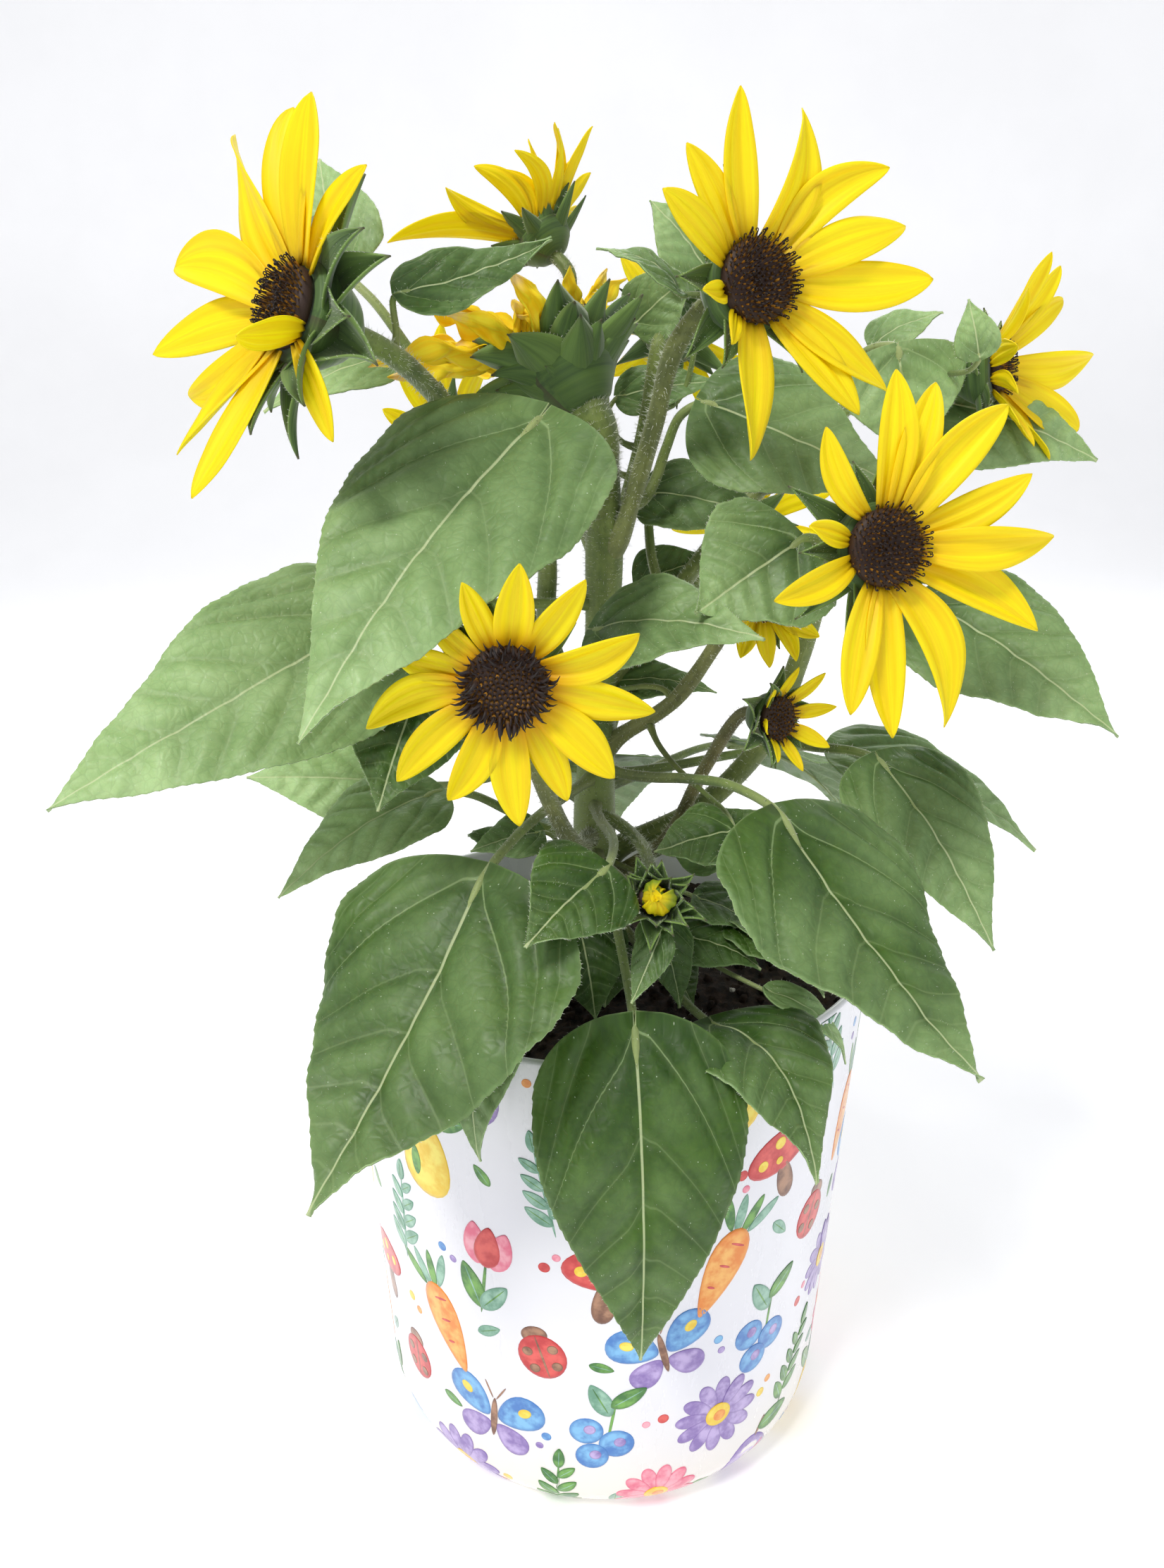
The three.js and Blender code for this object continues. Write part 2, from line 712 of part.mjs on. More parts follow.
function leafStart(on, foot) {
  const [carrier, place] = on;
  const target = polar(foot);
  if (carrier === "main") {
    const axis = mainAxis(place);
    const heading = Math.atan2(target.y - axis.y, target.x - axis.x) / DEGREE;
    return { ...offMain(place, heading, STALK.rootRadius), middle: axis };
  }
  const bloom = BLOOMS.find((one) => one.name === carrier);
  const curve = shootCurve(bloom);
  const middle = curve.getPointAt(place);
  const along = curve.getTangentAt(place);
  const out = target.clone().sub(middle);
  out.addScaledVector(along, -out.dot(along)).normalize();
  const skin = shootRadius(bloom)(place) * Math.cos(Math.PI / SHOOT.sides);
  const start = middle.clone().addScaledVector(out, skin + GAP * 2.4);
  return { start, middle, out };
}

function largeLeaf(leaf) {
  const surface = leafSurface(leaf);
  const { start, out } = leafStart(leaf.on, leaf.foot);
  const stalk = limb(
    stalkCurve(start, out, surface),
    (t) => STALK.rootRadius + (STALK.tipRadius - STALK.rootRadius) * t,
    STALK.steps,
    STALK.sides
  );
  const columns = leaf.width < BLADE.plainWidth ? BLADE.plainColumns : BLADE.columns;
  const blade = bladeSolid(surface, BLADE.stations, columns, BLADE.thickness);
  return [stalk, blade];
}

function smallLeaf(leaf) {
  const surface = leafSurface(leaf);
  const { middle, out } = leafStart(leaf.on, leaf.foot);
  const curve = stalkCurve(middle, out, surface);
  const stalk = limb(curve, () => STALK.smallRadius, STALK.smallSteps, STALK.sides);
  return [stalk, spindleSolid(surface, SMALL_BLADE.stations, SMALL_BLADE.keel)];
}

// Blooms, in the head's own frame: +Z is the way it looks and the disc's middle is the origin

// A ray or bract as a surface: it leaves the ring at radius start and rises at an angle that
// changes by bend over its length; sin and cos of that angle, summed along it, give its place.
function petalSurface({ angle, start, length, width, rise, bend, drop, rootShare }) {
  const turn = angle * DEGREE;
  const out = new THREE.Vector3(Math.cos(turn), Math.sin(turn), 0);
  const side = new THREE.Vector3(-Math.sin(turn), Math.cos(turn), 0);
  const e = rise * DEGREE;
  const b = bend * DEGREE;
  return (u, s) => {
    const radial = start + (length * (Math.sin(e + b * u) - Math.sin(e))) / b;
    const axial = (length * (Math.cos(e) - Math.cos(e + b * u))) / b - drop;
    const rooted = 1 - (1 - rootShare) * Math.pow(1 - u, 3);
    const share = rooted * Math.pow(1 - Math.pow(Math.min(u, 1), 2.6), 0.8);
    const half = (width / 2) * share * RAY.fullness;
    return out
      .clone()
      .multiplyScalar(radial)
      .addScaledVector(side, half * s)
      .add(new THREE.Vector3(0, 0, axial + RAY.edgeLift * half * Math.abs(s)));
  };
}

function rays({ disc, rays: list, rayWidth = RAY.widthPerReach, plain }) {
  const plate = new THREE.CylinderGeometry(disc, disc, RAY.plate, HEAD.sides);
  plate.rotateX(Math.PI / 2);
  const start = disc * RAY.root;
  const pieces = list.map(([angle, reach, rise]) => {
    const surface = petalSurface({
      angle,
      start,
      length: reach - start,
      width: Math.max(reach * rayWidth, RAY.leastWidth),
      rise: rise - RAY.bend / 2,
      bend: RAY.bend,
      drop: 0,
      rootShare: RAY.rootShare,
    });
    return spindleSolid(surface, plain ? RAY.plainStations : RAY.stations, RAY.keel);
  });
  return [plate, ...pieces];
}

// The disc of florets: a low dome with a dimple.
function disc({ disc: radius }) {
  const base = RAY.plate / 2 + GAP;
  const dome = radius * HEAD.domePerDisc;
  const profile = [
    [0, base],
    [radius * 0.84, base],
    [radius * 0.9, base + dome * 0.45],
    [radius * 0.66, base + dome],
    [0, base + dome * HEAD.dimple],
  ];
  return turned(profile, HEAD.sides);
}

// The green cup behind the rays with its ring of pointed bracts.
function cup({ disc: radius, bracts = {} }) {
  const depth = radius * HEAD.depthPerDisc;
  const lip = -RAY.plate / 2 - GAP;
  const profile = [
    [0, -depth],
    [radius * 0.35, -depth],
    [radius * 0.85, -depth * 0.6],
    [radius * 1.02, -depth * 0.3],
    [radius * 0.9, lip],
    [0, lip],
  ];
  const { count, length, width, rise, bend, root, rootShare, keel } = { ...BRACT, ...bracts };
  const pieces = [turned(profile, HEAD.sides)];
  for (let k = 0; k < count; k++) {
    const surface = petalSurface({
      angle: (360 * (k + 0.5)) / count,
      start: radius * root,
      length: radius * length,
      width: radius * width,
      rise: rise + bend,
      bend,
      drop: depth * 0.42,
      rootShare,
    });
    pieces.push(spindleSolid(surface, RAY.plainStations, keel));
  }
  return pieces;
}

function inPlace(bloom, geometries) {
  const { frame } = headFrame(bloom);
  return geometries.map((geometry) => geometry.applyMatrix4(frame));
}

function carried(name) {
  return SMALL_LEAVES.filter((leaf) => leaf.on[0] === name).flatMap(smallLeaf);
}

// Assembly

const plant = new THREE.Group();

function add(name, pieces, colour, roughness = 0.7) {
  const material = new THREE.MeshStandardMaterial({ color: colour, roughness, metalness: 0 });
  const mesh = new THREE.Mesh(toGeometry(fuse(pieces)), material);
  mesh.name = name;
  plant.add(mesh);
}

add("pot", [pot()], COLOURS.pot, 0.25);
add("soil", [soil()], COLOURS.soil, 0.95);

for (const bloom of BLOOMS) {
  const { name, shoot, fusedDisc } = bloom;
  const cupPieces = inPlace(bloom, cup(bloom));
  const rayPieces = rays(bloom);
  if (fusedDisc) {
    const dome = disc(bloom);
    dome.translate(0, 0, -GAP * 2); // down into the rays' plate
    rayPieces.push(dome);
  }
  if (shoot) {
    const stem = sideShoot(bloom);
    add("shoot_" + name, [stem, ...cupPieces, ...carried(name)], COLOURS.stem);
  } else {
    const stem = mainStem(bloom);
    add("main_stem", [stem, ...cupPieces, ...carried("main")], COLOURS.stem);
  }
  add("bloom_" + name, inPlace(bloom, rayPieces), COLOURS.ray);
  if (!fusedDisc) add("disc_" + name, inPlace(bloom, [disc(bloom)]), COLOURS.disc, 0.9);
}

for (const leaf of LEAVES) add("leaf_" + leaf.name, largeLeaf(leaf), COLOURS.leaf);

export default plant;
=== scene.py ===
"""A dwarf sunflower in a printed pot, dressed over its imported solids.

Plant sizes are in millimetres and become metres where a mesh is made. Surfaces are worked out as
whole arrays: a grid of points from two parameters, or a profile carried along a path.
"""
import bpy
import numpy as np
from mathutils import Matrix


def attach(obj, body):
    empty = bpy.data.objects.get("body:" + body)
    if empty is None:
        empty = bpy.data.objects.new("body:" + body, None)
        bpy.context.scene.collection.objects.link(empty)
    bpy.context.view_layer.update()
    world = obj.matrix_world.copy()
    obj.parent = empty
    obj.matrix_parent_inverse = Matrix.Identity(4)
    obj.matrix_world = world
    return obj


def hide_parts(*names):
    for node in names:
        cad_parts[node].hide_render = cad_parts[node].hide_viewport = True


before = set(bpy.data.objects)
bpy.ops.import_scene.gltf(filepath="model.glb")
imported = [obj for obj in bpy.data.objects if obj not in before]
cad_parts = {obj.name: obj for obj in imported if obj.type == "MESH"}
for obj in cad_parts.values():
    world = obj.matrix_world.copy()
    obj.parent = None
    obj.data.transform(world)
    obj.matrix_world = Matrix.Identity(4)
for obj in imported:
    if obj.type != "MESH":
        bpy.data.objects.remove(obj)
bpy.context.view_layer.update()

MM = 0.001
DECIMETRE = 100
PLANT_X = -3.0
POT = {"height": 200, "rim": 100, "foot": 88, "corner": 20, "wall": 3, "floor": 4}
SOIL = {"top": 182, "mound": 3, "gap": 0.2}
UP = np.array([0.0, 0.0, 1.0])
LEVEL = np.array([1, 1, 0])
RNG = np.random.default_rng(20)
# The cup's depth and the dome's height in disc radii, and the disc's plate.
DEPTH_PER_DISC = 1.35
DOME_PER_DISC = 0.34
PLATE = 1.2
# The gap between a carrier's skin and what starts from it, and the longest bristle.
GAP = 0.3
BRISTLE = 1.1
# The range of a random phase, the waves in an octave of lumps, and the lowest side veins' phase.
TURN = 6.3
WAVES = 7
BASAL_PHASE = 8.0

# The main stem: x, y, z and radius from the soil to the fading head.
MAIN_STEM = np.array([
    [PLANT_X, 0, 183, 8.2], [PLANT_X, 0, 196, 7], [-4, 0, 250, 6.7],
    [-2, 0, 300, 6.4], [-1, -2, 345, 6.3], [-2, -10, 372, 5.6],
])

# Blooms. shoot: the height and heading where it leaves the main stem, its radii at both ends and the
# points that it passes. centre: the middle of the disc. heading and rise: the way it looks. disc: the
# disc's radius. look: its stage of life. rays: each one's angle, reach from the middle, rise out of
# the disc's plane and, where it differs, a width factor; a bud's rays take their reach from its disc.
# ray_width: a ray's width as a share of its reach. spread: the florets' reach in disc radii. cup: a
# factor for the cup's depth. wave: one for the rays' sway and twist. bracts: how many in a row, their
# length and width in disc radii, and their rise in degrees.
BLOOMS = {
    "upper_left": dict(
        shoot=(288, 175, (4, 3.4), [(-21, 5, 314), (-22, 3, 345), (-38, -8, 370), (-53, -34, 394)]),
        centre=(-84, -85, 415), heading=-141, rise=18, disc=14, ray_width=0.24, spread=0.8, look="open",
        bracts=(7, 1.75, 1.05, 2),
        rays=[(82, 50, 14, 1.4), (54, 41, 0), (128, 57, 14, 1.4), (104, 54, 6, 1.4), (166, 60, 14),
              (-168, 60, 16), (-124, 52, 16), (-102, 56, 14), (-146, 50, 8), (-56, 39, -20),
              (-36, 38, 52, 1.25)]),
    "upper_rear": dict(
        shoot=(350, 125, (3, 2.6), [(-15, 14, 372), (-22, 27, 405)]),
        centre=(-23, 17, 447), heading=148, rise=49, disc=10, ray_width=0.22, look="open",
        cup=0.7, wave=2.0, bracts=(7, 1.5, 0.55, 34),
        rays=[(-28, 54, 18), (-6, 40, 26), (18, 35, 34), (30, 28, 44), (44, 33, 24), (58, 31, 42),
              (72, 36, 25), (86, 33, 38), (102, 37, 26), (120, 30, 42), (138, 31, 28), (168, 32, 26),
              (-70, 32, 22)]),
    "fading": dict(
        shoot=None, centre=(-16, -14, 408), heading=150, rise=60, disc=16, look="fading",
        bracts=(9, 1.5, 0.95, 34),
        rays=[(-30, 64, 14), (-50, 56, 20), (-72, 46, 26), (-104, 43, 30), (-138, 40, 34),
              (-6, 48, 22), (24, 40, 36), (64, 32, 50), (108, 32, 50), (150, 42, 36), (-172, 38, 36)]),
    "upper_right": dict(
        shoot=(350, -35, (3.6, 3.1), [(9, -14, 366), (14, -27, 386), (19, -42, 408)]),
        centre=(38, -70, 423), heading=-65, rise=8, disc=13, ray_width=0.255, look="open",
        rays=[(104, 46, 16), (71, 44, 12), (41, 48, 16), (19, 49, 11), (-1, 53, 15), (-38, 49, 11),
              (-54, 46, 17), (-100, 49, 12), (-128, 26, 36), (-165, 27, 38), (151, 39, 19), (127, 39, 12)]),
    "rear_middle": dict(
        shoot=(325, 78, (3.2, 2.8), [(4, 22, 345), (14, 28, 385)]),
        centre=(26, 44, 419), heading=68, rise=14, disc=11, look="open",
        rays=[(90, 36, 18), (50, 35, 12), (10, 37, 18), (-30, 35, 12), (-70, 37, 17),
              (-110, 38, 11), (-150, 35, 17), (170, 36, 12), (130, 35, 18)]),
    "far_right": dict(
        shoot=(300, 22, (3.8, 3), [(24, 16, 325), (56, 31, 362), (92, 30, 395)]),
        centre=(130, 0, 404), heading=-32, rise=5, disc=11.5, spread=0.7, look="open",
        bracts=(5, 0.95, 0.6, 20),
        rays=[(92, 38, 34), (62, 40, 30), (38, 42, 26), (2, 53, 30), (-30, 50, 28), (-62, 38, 30),
              (-90, 30, 36), (-122, 26, 36), (-156, 26, 40), (168, 28, 36), (130, 32, 34)]),
    "right": dict(
        shoot=(232, -2, (4.8, 3.4),
               [(34, -4, 250), (58, -6, 278), (68, -6, 306), (73, -12, 334), (71, -42, 350)]),
        centre=(72, -95, 355), heading=-78, rise=8, disc=12.5, ray_width=0.255, look="open",
        rays=[(90, 45, 11), (74, 44, 5), (51, 48, 10), (23, 45, 6), (1, 47, 11), (-26, 50, 6),
              (-69, 51, 10), (-90, 51, 6), (-107, 46, 11), (-158, 37, 14), (167, 27, 26), (124, 36, 8)]),
    "middle": dict(
        shoot=(276, -20, (3.3, 2.6), [(24, -14, 294), (38, -19, 316)]),
        centre=(50, -38, 333), heading=-72, rise=8, disc=8, ray_width=0.32, look="open",
        rays=[(-5, 20, 24), (-40, 22, 20), (-68, 23, 24), (-95, 23, 18), (-125, 23, 23),
              (-160, 29, 16), (162, 21, 26), (125, 20, 22), (85, 20, 28), (40, 19, 24)]),
    "half_open": dict(
        shoot=(222, -24, (2.8, 2.4), [(22, -14, 242), (34, -25, 272)]),
        centre=(54, -48, 296), heading=-52, rise=5, disc=8, look="opening",
        bracts=(6, 1.5, 1.0, 30),
        rays=[(85, 20, 38), (45, 22, 34), (5, 22, 32), (-35, 22, 32),
              (-80, 20, 38), (-125, 18, 44), (-175, 18, 48), (130, 18, 44)]),
    "front_left": dict(
        shoot=(240, -105, (3.3, 3), [(-10, -34, 246), (-17, -62, 268), (-25, -80, 298)]),
        centre=(-29, -104, 320), heading=-88, rise=-12, disc=12, ray_width=0.28, spread=1.0, look="young",
        bracts=(6, 1.4, 0.6, -4),
        rays=[(83, 36, 11), (55, 37, 5), (23, 39, 10), (-10, 41, 5), (-40, 40, 11), (-64, 39, 5),
              (-87, 42, 11), (-115, 39, 5), (-141, 41, 11), (-167, 40, 5),
              (165, 31, -3), (138, 28, -14), (110, 31, 3)]),
    "bud": dict(
        shoot=(247, -60, (2.6, 2.4), [(11, -30, 247), (14, -58, 246)]),
        centre=(13, -88, 250), heading=-92, rise=28, disc=6.5, look="bud",
        bracts=(5, 2.1, 1.35, 48),
        rays=[(angle, 0, 106) for angle in (90, 38, -12, -50, -104, -150, 166, 120)]),
    "rear_left": dict(
        shoot=(280, 140, (3.8, 3), [(-24, 22, 308), (-38, 40, 338)]),
        centre=(-62, 70, 378), heading=132, rise=12, disc=12.5, look="open",
        rays=[(88, 46, 15), (56, 42, 14), (24, 31, 22), (-8, 28, 24), (-40, 30, 22), (-73, 34, 16),
              (-105, 50, 14), (-138, 47, 8), (-171, 49, 15), (155, 48, 9), (121, 46, 8)]),
    "rear_right": dict(
        shoot=(278, 62, (3.6, 3), [(14, 30, 300), (34, 50, 322)]),
        centre=(58, 80, 346), heading=55, rise=8, disc=12, look="open",
        rays=[(92, 44, 14), (60, 46, 8), (27, 41, 13), (-6, 38, 10), (-39, 46, 14), (-72, 44, 8),
              (-104, 47, 14), (-137, 45, 9), (-170, 38, 16), (158, 40, 8), (124, 46, 9)]),
}
DEFAULT_BRACTS = (6, 1.5, 0.6, 6)

# Large leaves: what carries the leaf stalk and where, foot and tip as heading, reach and height
# about the plant's upright axis, width, roll about the midrib, arch of the midrib, tone (0 deep
# green, 1 pale sage) and ruffle of the edges.
LEAVES = {
    "front": ("main", 233, (-84, 98, 212), (-84, 121, 108), 64, 0, 0.1, 0.02, 0.6),
    "front_left": ("main", 262, (-113, 92, 256), (-119, 166, 182), 84, 0, 0.0, 0.18, 1.2),
    "front_right": ("main", 266, (-54, 94, 273), (-53, 170, 218), 72, 0, -0.03, 0.2, 0.9),
    "left_broad": ("main", 358, (-110, 53, 388), (-122, 147, 309), 72, -15, 0.05, 0.5, 0.7),
    "left_long": ("main", 326, (-165, 75, 325), (-154, 185, 276), 70, -50, 0.04, 0.75, 0.8),
    "left_dark": ("main", 296, (-154, 68, 300), (-142, 91, 267), 40, -50, 0.1, 0.0, 0.6),
    "left_pale": ("main", 264, (153, 82, 246), (171, 139, 254), 42, -88, 0.1, 1.0, 0.8),
    "left_low": ("main", 238, (176, 61, 254), (-161, 118, 229), 34, -50, 0.1, 0.85, 0.8),
    "right_high": ("upper_right", 0.12, (-16, 36, 393), (-14, 99, 367), 50, 55, 0.06, 0.45, 0.8),
    "right_round": ("far_right", 0.62, (-3, 98, 410), (-4, 106, 374), 42, 80, 0.05, 0.85, 0.5),
    "right_tip": ("far_right", 0.5, (7, 104, 397), (4, 176, 374), 46, 68, 0.06, 0.5, 0.8),
    "right_folded": ("right", 0.84, (-42, 81, 353), (-68, 74, 333), 47, -20, -0.02, 0.5, 1.4),
    "right_long": ("right", 0.7, (-5, 113, 328), (-20, 173, 293), 54, 50, 0.06, 0.45, 0.9),
    "middle_right": ("main", 314, (-92, 44, 324), (-58, 89, 327), 35, 20, 0.1, 0.45, 1.0),
    "right_behind": ("right", 0.36, (-20, 101, 278), (-33, 147, 229), 44, 35, 0.08, 0.35, 0.8),
    "front_small": ("main", 252, (-89, 90, 261), (-100, 122, 250), 33, -20, 0.06, 0.0, 0.8),
    "rim_front_right": ("main", 210, (-62, 80, 198), (-61, 133, 170), 46, 0, 0.3, 0.1, 0.8),
    "rim_right": ("main", 211, (-27, 62, 218), (-44, 102, 208), 36, 0, 0.1, 0.05, 0.8),
    "rear_left_high": ("main", 338, (98, 60, 350), (97, 160, 326), 64, 0, 0.1, 0.6, 0.9),
    "rear_left_low": ("main", 250, (128, 70, 258), (130, 166, 206), 62, 0, 0.1, 0.3, 0.9),
    "rear_low": ("main", 240, (86, 80, 244), (88, 160, 176), 62, 0, 0.12, 0.2, 0.9),
    "rear_right_low": ("main", 262, (14, 96, 266), (1, 168, 231), 44, 30, 0.1, 0.6, 0.8),
    "rear_right_behind": ("main", 256, (46, 82, 258), (40, 160, 206), 60, 0, 0.1, 0.3, 0.9),
}

# Small leaves, in the same terms without a name.
SMALL_LEAVES = [
    ("upper_left", 0.88, (-131, 85, 421), (-106, 52, 436), 18, 50, -0.06, 0.1, 2.4),
    ("upper_left", 0.6, (180, 84, 435), (168, 95, 470), 33, 20, 0.06, 0.8, 0.6),
    ("upper_left", 0.5, (-176, 67, 407), (-172, 110, 390), 22, -50, 0.1, 0.9, 0.6),
    ("upper_right", 0.88, (-66, 57, 422), (-92, 47, 434), 14, 0, 0.14, 0.5, 1.2),
    ("rear_middle", 0.55, (68, 34, 420), (33, 41, 437), 24, 118, 0.1, 0.5, 1.0),
    ("rear_middle", 0.68, (32, 46, 435), (58, 33, 459), 30, -80, 0.06, 0.7, 0.6),
    ("rear_middle", 0.45, (78, 37, 396), (35, 53, 401), 18, 95, 0.1, 0.3, 0.8),
    ("far_right", 0.95, (-12, 121, 406), (-12, 116, 423), 14, -85, 0.06, 0.9, 0.4),
    ("far_right", 0.75, (18, 103, 413), (15, 127, 424), 20, 50, 0.08, 0.8, 0.6),
    ("far_right", 0.2, (44, 23, 363), (2, 61, 352), 32, 70, 0.1, 0.3, 0.8),
    ("far_right", 0.14, (62, 32, 329), (27, 49, 339), 22, 95, 0.1, 0.2, 0.8),
    ("middle", 0.35, (0, 3, 297), (-5, 43, 294), 18, 40, 0.1, 0.2, 0.8),
    ("half_open", 0.3, (-51, 45, 244), (-30, 69, 260), 22, 30, 0.1, 0.1, 0.8),
    ("bud", 0.8, (-79, 94, 241), (-85, 103, 223), 12, 0, 0.08, 0.2, 0.8),
    ("main", 218, (-98, 27, 213), (-112, 58, 199), 28, 0, 0.1, 0.05, 0.8),
    ("main", 202, (-30, 36, 200), (-20, 64, 212), 28, 0, 0.1, 0.05, 0.8),
    ("main", 228, (-150, 24, 244), (-157, 50, 239), 20, -30, 0.1, 0.3, 0.8),
    ("main", 216, (128, 46, 224), (126, 88, 212), 36, 0, 0.1, 0.2, 0.8),
    ("main", 222, (36, 52, 226), (34, 92, 213), 34, 0, 0.1, 0.2, 0.8),
    ("middle", 0.2, (-50, 68, 259), (-73, 61, 254), 28, 0, 0.06, 0.1, 0.8),
    ("main", 232, (-73, 62, 231), (-69, 74, 203), 20, 0, 0.1, 0.1, 0.8),
    ("main", 221, (-62, 54, 220), (-45, 78, 210), 25, 0, 0.1, 0.1, 0.8),
    ("main", 220, (-39, 62, 221), (-38, 91, 207), 29, 0, 0.1, 0.0, 0.8),
    ("main", 214, (-48, 84, 206), (-39, 107, 181), 13, 0, 0.2, 0.75, 0.5),
    ("main", 216, (-108, 84, 212), (-110, 109, 168), 24, 0, 0.34, 0.25, 0.8),
    ("main", 226, (-98, 52, 227), (-91, 66, 197), 30, 0, 0.1, 0.0, 0.8),
    ("main", 230, (-47, 50, 229), (-37, 70, 218), 22, 0, 0.1, 0.15, 0.8),
    ("main", 208, (-75, 30, 206), (-88, 56, 196), 22, 0, 0.1, 0.0, 0.8),
    ("main", 205, (-50, 34, 203), (-58, 62, 194), 22, 0, 0.1, 0.05, 0.8),
]


# Arrays.

def stack(*columns):
    """Columns stretched to one shape and joined along a new last axis."""
    return np.stack(np.broadcast_arrays(*columns), axis=-1)


def circle(count):
    """Angles evenly round a full turn."""
    return np.linspace(0, 2 * np.pi, count, endpoint=False)


def around(turn, reach=1.0, height=0.0):
    """Points at an angle a, a reach r and a height z about Z: (r cos a, r sin a, z)."""
    return stack(reach * np.cos(turn), reach * np.sin(turn), height)


def unit(v):
    """Each vector divided by its length."""
    return v / np.maximum(np.linalg.norm(v, axis=-1, keepdims=True), 1e-9)


def smooth(low, high, x):
    """0 below low, 1 above high, and 3t^2 - 2t^3 between."""
    t = np.clip((x - low) / (high - low), 0, 1)
    return t * t * (3 - 2 * t)


def turned_about(v, axis, angle):
    """v turned about a unit axis: v cos a + (axis x v) sin a + axis (axis . v)(1 - cos a)."""
    c, s = np.cos(angle), np.sin(angle)
    return v * c + np.cross(axis, v) * s + axis * np.dot(axis, v) * (1 - c)


def run_along(path):
    """How far along a path each of its points lies."""
    return np.concatenate([[0], np.cumsum(np.linalg.norm(np.diff(path, axis=0), axis=1))])


def spline(points, count):
    """count points, even by length, on the centripetal Catmull-Rom curve through the points."""
    p = np.asarray(points, float)
    ends = np.vstack([2 * p[0] - p[1], p, 2 * p[-1] - p[-2]])
    gap = np.maximum(np.sum(np.diff(ends, axis=0) ** 2, axis=1) ** 0.25, 1e-4)[:, None]
    t = np.linspace(0, len(p) - 1, 60 * len(p))
    k = np.minimum(t.astype(int), len(p) - 2)
    w = (t - k)[:, None]
    x0, x1, x2, x3 = (ends[k + i] for i in range(4))
    d0, d1, d2 = (gap[k + i] for i in range(3))
    m1 = ((x1 - x0) / d0 - (x2 - x0) / (d0 + d1) + (x2 - x1) / d1) * d1
    m2 = ((x2 - x1) / d1 - (x3 - x1) / (d1 + d2) + (x3 - x2) / d2) * d1
    dense = x1 + w * m1 + w ** 2 * (3 * (x2 - x1) - 2 * m1 - m2) + w ** 3 * (2 * (x1 - x2) + m1 + m2)
    run = run_along(dense)
    at = np.linspace(0, run[-1], count)
    return stack(*[np.interp(at, run, column) for column in dense.T])


def path_frames(path):
    """Along, across and other at each point of a path, carried along it without twist."""
    along = unit(np.gradient(path, axis=0))
    start = UP if abs(along[0, 2]) < 0.9 else np.array([1.0, 0, 0])
    across = [unit(np.cross(along[0], start))]
    for step in along[1:]:
        across.append(unit(across[-1] - step * np.dot(across[-1], step)))
    return along, np.array(across), np.cross(along, across)


def tube_grid(path, radius, sides, flute=0.0):
    """Rings about a path: path + r (across cos a + other sin a), r = radius (1 + flute cos 5a)."""
    _, across, other = path_frames(path)
    a = circle(sides)[:, None]
    r = np.broadcast_to(radius, len(path))[:, None, None] * (1 + flute * np.cos(5 * a))
    return path[:, None] + (across[:, None] * np.cos(a) + other[:, None] * np.sin(a)) * r


def lathe_grid(profile, sides):
    """A profile of radius and height turned about Z."""
    profile = np.asarray(profile, float)
    return around(circle(sides), profile[:, :1], profile[:, 1:])


def face_normal(grid):
    """The way that a grid faces at each of its points."""
    return unit(np.cross(np.gradient(grid, axis=0), np.gradient(grid, axis=1)))


def lumps(points, cell, seed, octaves=3):
    """A smooth random height at each point: sums of sine waves in random directions."""
    rng = np.random.default_rng(seed)
    total = np.zeros(points.shape[:-1])
    for octave in range(octaves):
        for _ in range(WAVES):
            way = unit(rng.normal(size=3)) * 2 * np.pi / (cell * rng.uniform(0.8, 1.25) / 2 ** octave)
            total += np.sin(points @ way + rng.uniform(0, TURN)) / 2 ** octave
    return total / WAVES


# Meshes.

KEYS = ("points", "quads", "triangles", "place", "vein")


